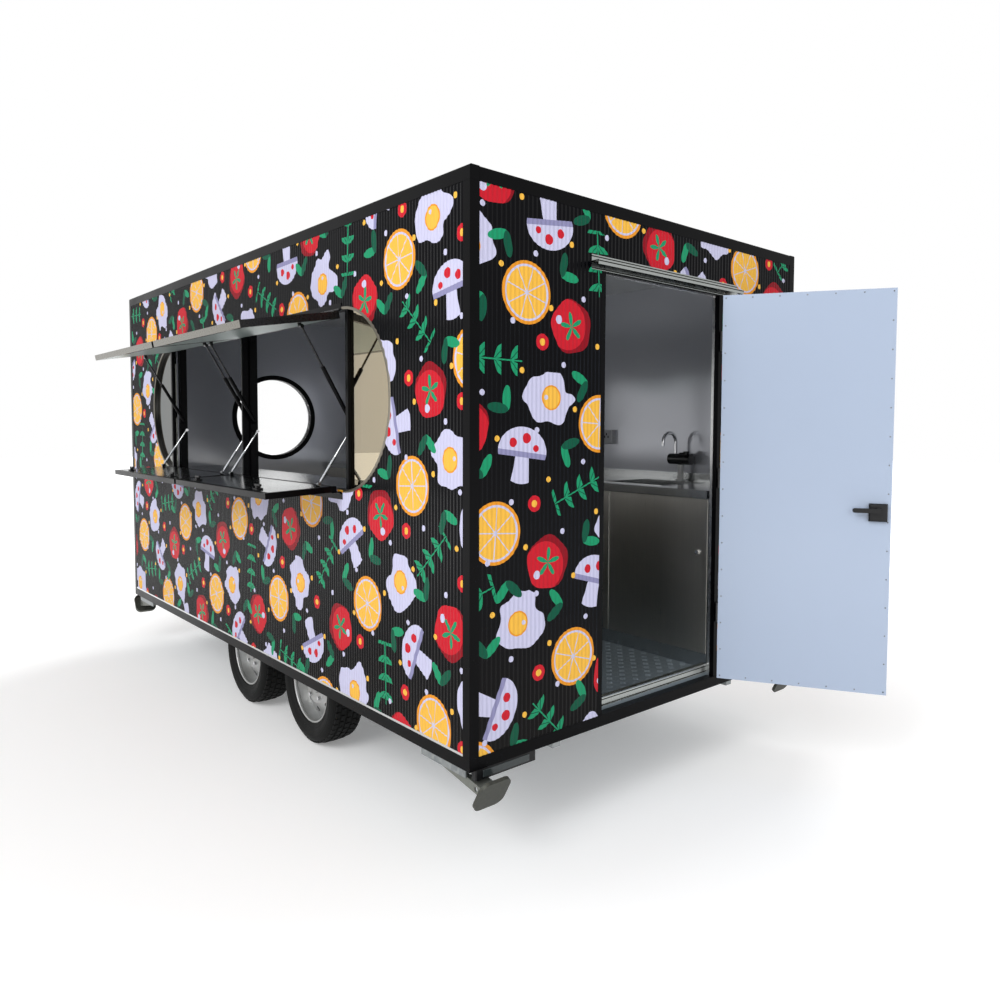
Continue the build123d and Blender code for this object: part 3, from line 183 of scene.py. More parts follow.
def to_shader(tree, node, socket):
    """Links a node's first live output to a socket of the material's shader."""
    live = next(output for output in node.outputs if output.enabled)
    tree.links.new(live, tree.nodes["Principled BSDF"].inputs[socket])


def mottle(tree, patch, detail=2):
    """A cloudy pattern that stays with the piece, with patches of a size in metres."""
    place = add_node(tree, "TexCoord").outputs["Object"]
    return add_node(tree, "TexNoise", {"Vector": place, "Scale": 1 / patch, "Detail": detail})


def vary(tree, share, tones=None, gloss=None):
    """Lets a pattern take a finish from one colour to another and from one roughness to another."""
    if tones:
        first, second = [linear(tone) if isinstance(tone, str) else tone for tone in tones]
        colour = add_node(tree, "Mix", {0: share, 6: first, 7: second}, data_type="RGBA")
        to_shader(tree, colour, "Base Color")
    if gloss:
        to_shader(tree, add_node(tree, "MapRange", (share, 0, 1, *gloss)), "Roughness")


def finish_node(node, material):
    """Gives a CAD node's object its finish."""
    nodes[node].data.materials.clear()
    nodes[node].data.materials.append(material)


black_enamel, tree = new_material("black_enamel", {"Specular IOR Level": 0.06})
vary(tree, mottle(tree, DUST_PATCH, 6), ("#030304", "#09090b"), (0.16, 0.42))
bump = {"Height": mottle(tree, PEEL), "Strength": 0.06, "Distance": 0.0005}
to_shader(tree, add_node(tree, "Bump", bump), "Normal")
for node in ("cabin_frame", "window_posts", "door_frame", "porthole_ring", "hinge_leaves"):
    finish_node(node, black_enamel)


# Printed film on the fluted cladding
# A cast vinyl film, printed with kitchen-garden motifs on near-black and pressed into the flutes
# of the sheet. It is satin, and a little dust greys its foot.
CELL = 0.272
LATTICE_TURN = radians(26.6)
JITTER = 0.16
WILD_TURN = 40
ABOUT_Z = {"rotation_type": "Z_AXIS"}
INK = {
    "ground": linear("#050508"),
    "red": linear("#c9202f"),
    "dark_red": linear("#8d1220"),
    "orange": linear("#e8972c"),
    "yellow": linear("#f3bb4a"),
    "green": linear("#1f9468"),
    "dark_green": linear("#0f5640"),
    "lavender": linear("#c9c8e4"),
    "grey_lavender": linear("#8f8db4"),
}
film, tree = new_material("printed_film", {"Specular IOR Level": 0.07})
sheet_place = add_node(tree, "UVMap", uv_map="film")


def scatter(shift_x, shift_y, seed):
    """Cells of a turned lattice: the place in the cell, turned at random, and the cell's number."""
    turn = add_node(tree, "VectorRotate", {"Vector": sheet_place, "Angle": LATTICE_TURN}, **ABOUT_Z)
    scaled = add_node(tree, "VectorMath DIVIDE", (turn, (CELL, CELL, 1)))
    moved = add_node(tree, "VectorMath ADD", (scaled, (shift_x, shift_y, 0)))
    cell = add_node(tree, "VectorMath FLOOR", (moved,))
    seeded = add_node(tree, "VectorMath ADD", (cell, (0, 0, seed)))
    chance = add_node(tree, "TexWhiteNoise", {"Vector": seeded}, noise_dimensions="3D").outputs
    within = add_node(tree, "VectorMath FRACTION", (moved,))
    strayed = (chance["Color"], (JITTER,) * 3, ((1 - JITTER) / 2,) * 3)
    middle = add_node(tree, "VectorMath MULTIPLY_ADD", strayed)
    offset = add_node(tree, "VectorMath SUBTRACT", (within, middle))
    metres = add_node(tree, "VectorMath MULTIPLY", (offset, (CELL, CELL, 0)))
    angle = add_node(tree, "Math MULTIPLY", (chance["Value"], WILD_TURN))
    motif = add_node(tree, "VectorRotate", {"Vector": metres, "Angle": angle}, **ABOUT_Z)
    return motif, add_node(tree, "VectorMath DOT_PRODUCT", (cell, (1, 2, 0)))


def through(tree, value, *steps):
    """Takes a value through one node after another. A step gives the node's kind and other inputs."""
    for kind, *others in steps:
        value = add_node(tree, kind, (value, *others))
    return value


def disc(place, radius):
    """A round spot on the motif."""
    return through(tree, motif, ("VectorMath DISTANCE", place), ("Math LESS_THAN", radius))


motif, order = scatter(0, 0, 3)
reach = add_node(tree, "VectorMath LENGTH", (motif,))
axes = add_node(tree, "SeparateXYZ", (motif,)).outputs
across, up = axes["X"], axes["Y"]
wide = add_node(tree, "Math ABSOLUTE", (across,))
bearing = add_node(tree, "Math ARCTAN2", (up, across))
kind = add_node(tree, "Math FLOORED_MODULO", (order, 5))

# Citrus slice: rind, pith and eight segments.
RIND, PITH, PULP = 0.112, 0.100, 0.092
MEMBRANE = 0.008
rind = add_node(tree, "Math LESS_THAN", (reach, RIND))
pith = add_node(tree, "Math LESS_THAN", (reach, PITH))
wedge = through(tree, bearing, ("Math MULTIPLY", 4), ("Math SINE",), ("Math ABSOLUTE",))
wedge = through(tree, wedge, ("Math MULTIPLY", reach), ("Math GREATER_THAN", MEMBRANE))
pulp = through(tree, reach, ("Math LESS_THAN", PULP), ("Math MULTIPLY", wedge))
citrus = ((rind, "orange"), (pith, "lavender"), (pulp, "yellow"))

# Tomato: a lobed round with a highlight and a five-pointed calyx.
SKIN, LOBE = 0.100, 0.004
CALYX, CALYX_POINT = 0.026, 0.030
SPOT_PLACE, SPOT = (-0.046, 0.050, 0), 0.016
LIT_PLACE, LIT = (-0.016, 0.016, 0), 0.094
lobes = through(tree, bearing, ("Math MULTIPLY", 5), ("Math COSINE",))
skin = through(tree, lobes, ("Math MULTIPLY_ADD", LOBE, SKIN), ("Math GREATER_THAN", reach))
calyx = through(tree, lobes, ("Math MULTIPLY_ADD", CALYX_POINT, CALYX), ("Math GREATER_THAN", reach))
spot = disc(SPOT_PLACE, SPOT)
shade = through(tree, motif, ("VectorMath DISTANCE", LIT_PLACE), ("Math GREATER_THAN", LIT))
shade = add_node(tree, "Math MULTIPLY", (shade, skin))
tomato = ((skin, "red"), (shade, "dark_red"), (spot, "lavender"), (calyx, "green"))

# Mushroom: a domed cap with red dots over gills and a stem.
CAP, CAP_SQUASH = 0.112, (1, 1.28, 1)
GILL_LOW, GILL_HIGH = -0.012, 0.008
STEM, STEM_TAPER, STEM_END = 0.030, -0.12, 0.108
CAP_DOTS = (((-0.048, 0.036, 0), 0.017), ((0.012, 0.058, 0), 0.019), ((0.060, 0.026, 0), 0.013))
dome = add_node(tree, "VectorMath MULTIPLY_ADD", (motif, CAP_SQUASH, (0, GILL_LOW, 0)))
above = add_node(tree, "Math GREATER_THAN", (up, GILL_LOW))
below = add_node(tree, "Math MULTIPLY_ADD", (above, -1, 1))
cap = through(tree, dome, ("VectorMath LENGTH",), ("Math LESS_THAN", CAP), ("Math MULTIPLY", above))
gills = through(tree, up, ("Math LESS_THAN", GILL_HIGH), ("Math MULTIPLY", cap))
taper = add_node(tree, "Math MULTIPLY_ADD", (up, STEM_TAPER, STEM))
end = add_node(tree, "Math LESS_THAN", (reach, STEM_END))
stem = through(tree, wide, ("Math LESS_THAN", taper), ("Math MULTIPLY", below), ("Math MULTIPLY", end))
mushroom = [(stem, "lavender"), (cap, "lavender"), (gills, "grey_lavender")]
mushroom += [(disc(*dot), "red") for dot in CAP_DOTS]

# Herb sprig: a stem with pairs of pointed leaves at 45 degrees.
PAIR_PITCH = 0.072
LEAF_LENGTH, LEAF_WIDTH = 0.088, 0.027
SPRIG_HALF = 0.125
RIB, STALK = 0.0026, 0.0028
rung = add_node(tree, "Math WRAP", (up, -PAIR_PITCH * 0.55, PAIR_PITCH * 0.45))
along = through(tree, wide, ("Math ADD", rung), ("Math MULTIPLY", sqrt(0.5)))
aside = through(tree, wide, ("Math SUBTRACT", rung), ("Math ABSOLUTE",))
tip = add_node(tree, "Math LESS_THAN", (along, LEAF_LENGTH))
inside = through(tree, up, ("Math ABSOLUTE",), ("Math LESS_THAN", SPRIG_HALF))
bulge = through(tree, along, ("Math MULTIPLY", pi / LEAF_LENGTH), ("Math SINE",))
bulge = add_node(tree, "Math MULTIPLY", (bulge, LEAF_WIDTH))
leaf = through(tree, aside, ("Math LESS_THAN", bulge), ("Math MULTIPLY", tip), ("Math MULTIPLY", inside))
rib = through(tree, aside, ("Math LESS_THAN", RIB), ("Math MULTIPLY", leaf))
stalk = through(tree, wide, ("Math LESS_THAN", STALK), ("Math MULTIPLY", inside))
sprig = ((leaf, "green"), (rib, "dark_green"), (stalk, "green"))

# Fried egg: a blot of white with a yolk and a highlight.
BLOT, BLOT_SWING, BLOT_WAVE = 0.062, 0.085, 0.085
YOLK_PLACE, YOLK_EDGE, YOLK = (0.012, -0.008, 0), 0.046, 0.040
GLINT_PLACE, GLINT = (-0.004, 0.012, 0), 0.009
wave = {"Vector": sheet_place, "Scale": 1 / BLOT_WAVE, "Detail": 0}
edge = add_node(tree, "TexNoise", wave, noise_dimensions="2D")
white = through(tree, edge, ("Math MULTIPLY_ADD", BLOT_SWING, BLOT), ("Math GREATER_THAN", reach))
yolk_edge, yolk = disc(YOLK_PLACE, YOLK_EDGE), disc(YOLK_PLACE, YOLK)
glint = disc(GLINT_PLACE, GLINT)
egg = ((white, "lavender"), (yolk_edge, "orange"), (yolk, "yellow"), (glint, "lavender"))

inks = []
for index, shapes in enumerate((citrus, tomato, mushroom, sprig, egg)):
    wanted = add_node(tree, "Math COMPARE", (kind, index, 0.1))
    for shape, tone in shapes:
        inks.append((add_node(tree, "Math MULTIPLY", (shape, wanted)), tone))

# Small filler between them: berries with a yellow eye, a pair of leaves, and dots.
BERRY, BERRY_EYE, DOT = 0.030, 0.013, 0.011
SMALL_LEAF, LEAF_SLIM, LEAF_OUT, LEAF_LEAN = 0.046, (2.5, 1, 1), (0, 0.038, 0), 0.75
filler, order = scatter(0.5, 0.5, 11)
filler_reach = add_node(tree, "VectorMath LENGTH", (filler,))
third = add_node(tree, "Math FLOORED_MODULO", (order, 3))
berry = add_node(tree, "Math LESS_THAN", (third, 0.5))
pair = add_node(tree, "Math MULTIPLY_ADD", (berry, -1, 1))
shapes = [(filler_reach, BERRY, berry, "red"), (filler_reach, BERRY_EYE, berry, "yellow")]
for lean, tone in ((LEAF_LEAN, "green"), (-LEAF_LEAN, "dark_green")):
    slim = add_node(tree, "VectorRotate", {"Vector": filler, "Angle": lean}, **ABOUT_Z)
    slim = through(tree, slim, ("VectorMath SUBTRACT", LEAF_OUT), ("VectorMath MULTIPLY", LEAF_SLIM))
    shapes.append((add_node(tree, "VectorMath LENGTH", (slim,)), SMALL_LEAF, pair, tone))
for shift, seed, tone in (((0.5, 0.0), 17, "yellow"), ((0.0, 0.5), 23, "lavender")):
    dots = add_node(tree, "VectorMath LENGTH", (scatter(*shift, seed)[0],))
    shapes.append((dots, DOT, 1.0, tone))
for value, radius, wanted, tone in shapes:
    shape = through(tree, value, ("Math LESS_THAN", radius), ("Math MULTIPLY", wanted))
    inks.append((shape, tone))

CLOUD = 0.35
GRIME_HEIGHT = 0.5
colour = INK["ground"]
for mask, ink in inks:
    colour = add_node(tree, "Mix", {0: mask, 6: colour, 7: INK[ink]}, data_type="RGBA")
place = add_node(tree, "TexCoord").outputs["Object"]
cloud = mottle(tree, CLOUD, 5)
height = add_node(tree, "SeparateXYZ", (place,)).outputs["Z"]
foot = add_node(tree, "MapRange", (height, cabin_low.z, cabin_low.z + GRIME_HEIGHT, 0.05, 0.0))
grime = add_node(tree, "Math MULTIPLY", (foot, cloud))
vary(tree, grime, (colour, "#8a8377"))
vary(tree, cloud, gloss=(0.14, 0.32))


# Fluted cladding
# Sheets with upright flutes, 20 mm apart and 2.4 mm deep, set between the bars of the frame and
# cut round the window, the doorway and the round window. The film is laid over them.
FLUTE_PITCH = 0.020
FLUTE_DEPTH = 0.0024
FLUTE_FOOT = 0.0004
FLUTE_STEPS = 6
ARC_STEPS = 24
FORWARD, BACK, LEFT, RIGHT = (1, 0, 0), (-1, 0, 0), (0, 1, 0), (0, -1, 0)
# Where the sheets of these walls begin on the print, in metres.
KITCHEN_PRINT = 7
FRONT_PRINT = 13
REAR_PRINT = 18


def mesh_from(bm, name):
    """Turns a finished bmesh into a mesh with its faces outward."""
    bmesh.ops.recalc_face_normals(bm, faces=bm.faces)
    mesh = bpy.data.meshes.new(name)
    bm.to_mesh(mesh)
    bm.free()
    return mesh


def piece(name, shape, finish, body, smooth=False):
    """Makes a mesh, or a finished bmesh, a piece of the object that rides on a body."""
    mesh = mesh_from(shape, name) if isinstance(shape, bmesh.types.BMesh) else shape
    mesh.materials.clear()
    mesh.materials.append(finish)
    for face in mesh.polygons:
        face.use_smooth = smooth
    made = bpy.data.objects.new(name, mesh)
    bpy.context.collection.objects.link(made)
    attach(made, body)
    return made


def fluted_mesh(name, width, height, to_place, shift, gap=None):
    """A fluted sheet from (0, 0) to (width, height). A gap gives the lower and upper edge of a hole
    at a place along the sheet, and the places where the hole's outline turns. shift is where its corner
    lies on the print."""
    count = round(width / FLUTE_PITCH) * FLUTE_STEPS
    stations = {round(width * step / count, 6) for step in range(count + 1)}
    if gap:
        stations |= {round(s, 6) for s in gap["stations"]}
    verts, faces, places = [], [], []
    for s in sorted(stations):
        wave = 0.5 - 0.5 * cos(2 * pi * s / FLUTE_PITCH)
        low, high = gap["edges"](s) if gap else (height / 2, height / 2)
        for t in (0, low, high, height):
            verts.append(to_place @ Vector((s, t, FLUTE_FOOT + FLUTE_DEPTH * wave)))
            places.append((s + shift[0], t + shift[1]))
    for index in range(len(stations) - 1):
        here, there = 4 * index, 4 * index + 4
        for row in (0, 2):
            faces.append((here + row, there + row, there + row + 1, here + row + 1))
    mesh = bpy.data.meshes.new(name)
    mesh.from_pydata(verts, [], faces)
    layer = mesh.uv_layers.new(name="film")
    for loop in mesh.loops:
        layer.data[loop.index].uv = places[loop.vertex_index]
    if to_place.determinant() < 0:
        mesh.flip_normals()
    return mesh


def slot_gap(middle, centre, straight, radius):
    """A hole with half-round ends: its middle along and up the sheet, straight length and radius."""
    turns = [radius * cos(pi * step / ARC_STEPS) for step in range(ARC_STEPS // 2 + 1)]
    stations = [middle + side * (straight / 2 + turn) for turn in turns for side in (-1, 1)]

    def edges(s):
        past = max(abs(s - middle) - straight / 2, 0)
        rise = sqrt(max(radius**2 - past**2, 0))
        return centre - rise, centre + rise

    return {"stations": stations, "edges": edges}


def wall_frame(origin, across, outward):
    """Takes places along, up and out of a wall to the trailer."""
    return Matrix.Translation(origin) @ Matrix((across, (0, 0, 1), outward)).transposed().to_4x4()


serving_low, serving_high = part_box("wall_serving")
kitchen_low, kitchen_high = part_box("wall_kitchen")
rear_low, rear_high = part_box("wall_rear")
front_low, front_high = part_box("wall_front")
lining_low, lining_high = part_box("window_lining")
ring_low, ring_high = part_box("porthole_ring")
jamb_low, jamb_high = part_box("door_frame")
wall_height = serving_high.z - serving_low.z
wall_length = serving_high.x - serving_low.x
end_width = rear_high.y - rear_low.y
window_radius = (lining_high.z - lining_low.z) / 2
window_gap = slot_gap(
    (lining_low.x + lining_high.x) / 2 - serving_low.x,
    (lining_low.z + lining_high.z) / 2 - serving_low.z,
    lining_high.x - lining_low.x - 2 * window_radius,
    window_radius,
)
ring_gap = slot_gap(
    (ring_low.y + ring_high.y) / 2 - front_low.y,
    (ring_low.z + ring_high.z) / 2 - front_low.z,
    0,
    (ring_high.y - ring_low.y) / 2,
)


def rear_print(corner):
    """Where a sheet's corner on the rear end lies on the print, which runs on across the door."""
    return REAR_PRINT + rear_high.y - corner.y, REAR_PRINT + corner.z - rear_low.z


# Columns: name, corner, direction along the sheet, outward, width, height.
CLADDING = (
    ("serving", (serving_low.x, serving_high.y, serving_low.z), FORWARD, LEFT, wall_length, wall_height),
    ("kitchen", (kitchen_high.x, kitchen_low.y, kitchen_low.z), BACK, RIGHT, wall_length, wall_height),
    ("front", (front_high.x, front_low.y, front_low.z), LEFT, FORWARD, end_width, wall_height),
    ("rear_left", (rear_low.x, rear_high.y, rear_low.z), RIGHT, BACK, rear_high.y - jamb_high.y, wall_height),
    ("rear_right", (rear_low.x, jamb_low.y, rear_low.z), RIGHT, BACK, jamb_low.y - rear_low.y, wall_height),
    (
        "rear_head", (rear_low.x, jamb_high.y, jamb_high.z), RIGHT, BACK,
        jamb_high.y - jamb_low.y, rear_high.z - jamb_high.z,
    ),
)
SHIFTS = {"serving": (0, 0), "kitchen": (KITCHEN_PRINT,) * 2, "front": (FRONT_PRINT,) * 2}
HOLES = {"serving": window_gap, "front": ring_gap}
for name, corner, across, outward, width, height in CLADDING:
    corner = Vector(corner)
    shift = SHIFTS.get(name) or rear_print(corner)
    to_wall = wall_frame(corner, across, outward)
    mesh = fluted_mesh(f"cladding_{name}", width, height, to_wall, shift, HOLES.get(name))
    piece(f"cladding_{name}", mesh, film, "trailer", smooth=True)


# Inner faces of the walls and the roof
# Pre-coated steel sheet glued to the foam of the sandwich panels, light grey and half gloss.
# Large sheets never lie quite flat, so the reflections in them swim.
SHEET_WAVE = 0.45


def coated_sheet(name, colour, roughness, metallic=0.0):
    """Pre-coated sheet with slow waves in it."""
    sockets = {"Base Color": linear(colour), "Roughness": roughness, "Metallic": metallic}
    material, tree = new_material(name, sockets)
    bump = {"Height": mottle(tree, SHEET_WAVE, 1), "Strength": 0.25, "Distance": 0.02}
    to_shader(tree, add_node(tree, "Bump", bump), "Normal")
    return material


grey_sheet = coated_sheet("grey_coated_sheet", "#bdbfc6", 0.15, 0.35)
roof_sheet = coated_sheet("white_roof_sheet", "#c6c9cb", 0.45)
for node in ("wall_serving", "wall_kitchen", "wall_rear", "wall_front"):
    finish_node(node, grey_sheet)
finish_node("roof", roof_sheet)


# Bright strips: rain strip, sill, roof seams, trims along the cladding and round the end panes
# Extruded aluminium, left bright. The cladding stands on a low strip, flat strips cover the joints
# of the roof sheets, and a rolled one the cut edge round the two half-round ends of the window.
METAL_CLOUD = 1 / 3
BOTH_REACH = (0.6, 1.4)
DARK_GRAIN = 0.86


def metal(name, colour, roughness, grain, stretch, patchy=0.10, metallic=1.0):
    """Bare metal with a fine grain. grain is its size in metres, stretch how far it runs along X, Y, Z.
    Brush lines are too fine to show, so the grain is drawn a millimetre wide or more."""
    material, tree = new_material(name, {"Metallic": metallic})
    place = add_node(tree, "TexCoord").outputs["Object"]
    lines = add_node(tree, "VectorMath DIVIDE", (place, stretch))
    grains = add_node(tree, "TexNoise", {"Vector": lines, "Scale": 1 / grain, "Detail": 3})
    both = add_node(tree, "Math ADD", (grains, mottle(tree, METAL_CLOUD, 4)))
    rough = add_node(tree, "MapRange", (both, *BOTH_REACH, roughness - patchy, roughness + patchy))
    to_shader(tree, rough, "Roughness")
    light = linear(colour)
    vary(tree, grains, ([DARK_GRAIN * c for c in light[:3]] + [1], light))
    bump = {"Height": grains, "Strength": 0.05, "Distance": 0.0004}
    to_shader(tree, add_node(tree, "Bump", bump), "Normal")
    return material


def bar(bm, corner, opposite, edge=0.0):
    """Adds a box between two corners with its edges eased."""
    low = Vector([min(pair) for pair in zip(corner, opposite)])
    high = Vector([max(pair) for pair in zip(corner, opposite)])
    verts = bmesh.ops.create_cube(bm, size=1)["verts"]
    for vert in verts:
        vert.co = (low + high) / 2 + Vector([c * s for c, s in zip(vert.co, high - low)])
    if edge:
        edges = list({e for vert in verts for e in vert.link_edges})
        bmesh.ops.bevel(bm, geom=edges, offset=edge, segments=2, profile=0.5, affect="EDGES")


bright_aluminium = metal("bright_aluminium", "#d9dadb", 0.26, 0.0015, (1, 40, 40))
satin_aluminium = metal("satin_aluminium", "#847e72", 0.36, 0.0015, (40, 1, 40), 0.06)
dark_aluminium = metal("dark_anodised_aluminium", "#4d4b48", 0.32, 0.0015, (40, 1, 40), 0.06)
finish_node("window_lining", dark_aluminium)

SEAM_WIDTH = 0.060
SEAM_RISE = 0.0022
SEAM_SINK = 0.0005
SEAM_EASE = 0.0008
ROOF_SHEETS = 4
roof_low, roof_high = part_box("roof")
sheet_length = (roof_high.x - roof_low.x) / ROOF_SHEETS
bm = bmesh.new()
for index in range(1, ROOF_SHEETS):
    x = roof_low.x + index * sheet_length
    low = (x - SEAM_WIDTH / 2, roof_low.y, roof_high.z - SEAM_SINK)
    bar(bm, low, (x + SEAM_WIDTH / 2, roof_high.y, roof_high.z + SEAM_RISE), SEAM_EASE)
piece("roof_seams", bm, bright_aluminium, "trailer")

RIB_PITCH = 0.011
RIB_GROOVE = 0.0022
ribbed_aluminium = metal("ribbed_aluminium", "#a4a8a6", 0.28, 0.0015, (1, 40, 40))
tree = ribbed_aluminium.node_tree
place = add_node(tree, "TexCoord").outputs["Object"]
height = add_node(tree, "SeparateXYZ", (place,)).outputs["Z"]
# The grooves between the ribs are flat: they are drawn as dark bands of painted shade.
painted_groove_shade = through(tree, height, ("Math PINGPONG", RIB_PITCH), ("Math LESS_THAN", RIB_GROOVE))
plain = tree.nodes["Principled BSDF"].inputs["Base Color"].links[0].from_socket
vary(tree, painted_groove_shade, (plain, "#23241f"))
finish_node("door_trims", ribbed_aluminium)

STRIP_HEIGHT = 0.009
STRIP_PROUD = 0.00295
STRIP_EASE = 0.0004
bm = bmesh.new()
for y, outward in ((serving_high.y, 1), (kitchen_low.y, -1)):
    high = (serving_high.x, y + outward * STRIP_PROUD, serving_low.z + STRIP_HEIGHT)
    bar(bm, (serving_low.x, y, serving_low.z), high, STRIP_EASE)
piece("cladding_strips", bm, bright_aluminium, "trailer")

JAMB_STRIP = 0.014
JAMB_RISE = 0.0015
DOOR_BAR = 0.025
bm = bmesh.new()
near, far = rear_high.x - JAMB_STRIP, rear_high.x
right, left, top = jamb_low.y + DOOR_BAR, jamb_high.y - DOOR_BAR, jamb_high.z - DOOR_BAR
bar(bm, (near, right, jamb_low.z), (far, right + JAMB_RISE, top))
bar(bm, (near, left - JAMB_RISE, jamb_low.z), (far, left, top))
bar(bm, (near, right + JAMB_RISE, top - JAMB_RISE), (far, left - JAMB_RISE, top))
piece("jamb_strips", bm, bright_aluminium, "trailer")

TRIM_WIDTH = 0.013
TRIM_PROUD = 0.004
TRIM_LAP = 0.002
# Columns: place out from the window's edge, place out from the wall.
TRIM_PROFILE = (
    (-TRIM_LAP, 0.0),
    (-TRIM_LAP, TRIM_PROUD),
    (TRIM_WIDTH - 2 * TRIM_LAP, TRIM_PROUD),
    (TRIM_WIDTH - TRIM_LAP, 0.0),
)
window_middle = Vector(
    ((lining_low.x + lining_high.x) / 2, serving_high.y, (lining_low.z + lining_high.z) / 2)
)
window_half = (lining_high.x - lining_low.x) / 2 - window_radius
bm = bmesh.new()
for side in (-1, 1):
    centre = window_middle + Vector((side * window_half, 0, 0))
    rows = []
    for step in range(2 * ARC_STEPS + 1):
        angle = radians(-90 + 180 * step / (2 * ARC_STEPS))
        ray = Vector((side * cos(angle), 0, sin(angle)))
        rows.append([
            bm.verts.new(centre + ray * (window_radius + beyond) + Vector((0, out, 0)))
            for beyond, out in TRIM_PROFILE
        ])
    for low_row, high_row in zip(rows, rows[1:]):
        for index in range(3):
            bm.faces.new((low_row[index], low_row[index + 1], high_row[index + 1], high_row[index]))
piece("window_end_trims", bm, satin_aluminium, "trailer")


# Glazing bars and the middle cover strip
# Black aluminium bars screwed over the straight edges of the end panes, and a narrow strip of the
# same that closes the middle post between the flaps.
BAR_SETBACK = 0.020
GLAZING_BAR = 0.022
COVER_STRIP = 0.015
BAR_FACE = 0.001
BAR_CLEAR = 0.002
BAR_EASE = 0.0015
pane_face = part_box("glazing")[1].y
bar_face = lining_high.y - BAR_FACE
bar_rise = sqrt(window_radius**2 - (BAR_SETBACK + GLAZING_BAR) ** 2) - BAR_CLEAR
bm = bmesh.new()
for side in (-1, 1):
    edge = window_middle.x + side * (window_half + BAR_SETBACK)
    high = (edge + side * GLAZING_BAR, bar_face, window_middle.z + bar_rise)
    bar(bm, (edge, pane_face, window_middle.z - bar_rise), high, BAR_EASE)
post_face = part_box("window_posts")[1].y
low = (window_middle.x - COVER_STRIP / 2, post_face, lining_low.z + BAR_CLEAR)
bar(bm, low, (window_middle.x + COVER_STRIP / 2, bar_face, lining_high.z - BAR_CLEAR), BAR_EASE)
piece("glazing_bars", bm, black_enamel, "trailer")


# Fixed panes
# Float glass. The two half-round end panes carry a mirror film against the sun, the round one in
# the front wall is clear. The mirror panes are coloured with a painted reflection, cream at the rear
# end of the window and dark grey at the front end.
MIRROR_SHARE = 0.6
CLEAR_PANE_BODY = 0.12
sockets = {"Roughness": 0.0, "IOR": 1.45, "Transmission Weight": 1.0}
float_glass, tree = new_material("float_glass", sockets)
place = add_node(tree, "TexCoord").outputs["Object"]
along = add_node(tree, "SeparateXYZ", (place,)).outputs["X"]
filmed = add_node(tree, "Math LESS_THAN", (along, front_low.x))
to_shader(tree, add_node(tree, "Math MULTIPLY", (filmed, MIRROR_SHARE)), "Metallic")
to_shader(tree, add_node(tree, "MapRange", (filmed, 0, 1, CLEAR_PANE_BODY, 1)), "Alpha")
# Painted reflection: the mirror panes run from cream at the rear end of the window to dark grey at the front
# end.
shade = add_node(tree, "MapRange", (along, lining_low.x, lining_high.x))
painted_reflection_tints = {0: shade, 6: linear("#cfc2a6"), 7: linear("#4c5557")}
vary(tree, filmed, (WHITE, add_node(tree, "Mix", painted_reflection_tints, data_type="RGBA")))
finish_node("glazing", float_glass)


# Flaps and shelves of the serving window
# Foam panels in a frame of black square tube. The outer side carries the printed fluted sheet, the
# inner side a polished steel sheet, and the flap's lower edge an aluminium nosing.
LEAF_FRAME = 0.024
LEAF_CLEAR = 0.007
SKIN_SINK = 0.003
SHEET_FOOT = 0.0001
SHEET_LIFT = 0.0012
FLAP_THICK = 0.030
SHELF_THICK = 0.025
NOSING = 0.002
NOSING_END = 0.001
SCRATCH = 1 / 60
ENDS = ("rear", "front")


def hinged(joint):
    """Takes a leaf drawn shut, at its joint's lower limit, to where it stands at rest."""
    pivot = Vector(joints[joint]["pos_m"])
    turn = Matrix.Rotation(radians(-joints[joint]["range_deg"][0]), 4, Vector(joints[joint]["axis"]))
    return Matrix.Translation(pivot) @ turn @ Matrix.Translation(-pivot)


def shut_box(node, joint):
    """The corners of a leaf turned shut."""
    back = hinged(joint).inverted()
    places = [back @ vert.co for vert in nodes[node].data.vertices]
    low = Vector([min(p[axis] for p in places) for axis in range(3)])
    return low, Vector([max(p[axis] for p in places) for axis in range(3)])


polished_steel = metal("polished_steel", "#bccac6", 0.36, 0.004, (60, 1, 1), 0.04, 0.45)
shelf_steel = metal("brushed_shelf_steel", "#a4a8a8", 0.16, 0.002, (60, 1, 1), 0.05)
for end in ENDS:
    for kind, thick, sheet in (("flap", FLAP_THICK, polished_steel), ("shelf", SHELF_THICK, shelf_steel)):
        leaf, joint = f"{kind}_{end}", f"{kind}_{end}_hinge"
        low, high = shut_box(leaf, joint)
        bottom = low.z if kind == "flap" else lining_low.z + LEAF_CLEAR
        top = lining_high.z - LEAF_CLEAR if kind == "flap" else high.z
        width = high.x - low.x - 2 * LEAF_FRAME
        height = top - bottom - 2 * LEAF_FRAME
        corner = Vector((low.x + LEAF_FRAME, cabin_high.y - SKIN_SINK, bottom + LEAF_FRAME))
        to_leaf = hinged(joint) @ wall_frame(corner, FORWARD, LEFT)
        shift = (corner.x - serving_low.x, corner.z - serving_low.z)
        mesh = fluted_mesh(f"{leaf}_skin", width, height, to_leaf, shift)
        piece(f"{leaf}_skin", mesh, film, leaf, smooth=True)
        inner = cabin_high.y - thick
        bm = bmesh.new()
        low = (corner.x, inner + SHEET_FOOT, corner.z)
        bar(bm, low, (corner.x + width, inner + SHEET_LIFT, corner.z + height))
        bm.transform(hinged(joint))
        piece(f"{leaf}_sheet", bm, sheet, leaf)

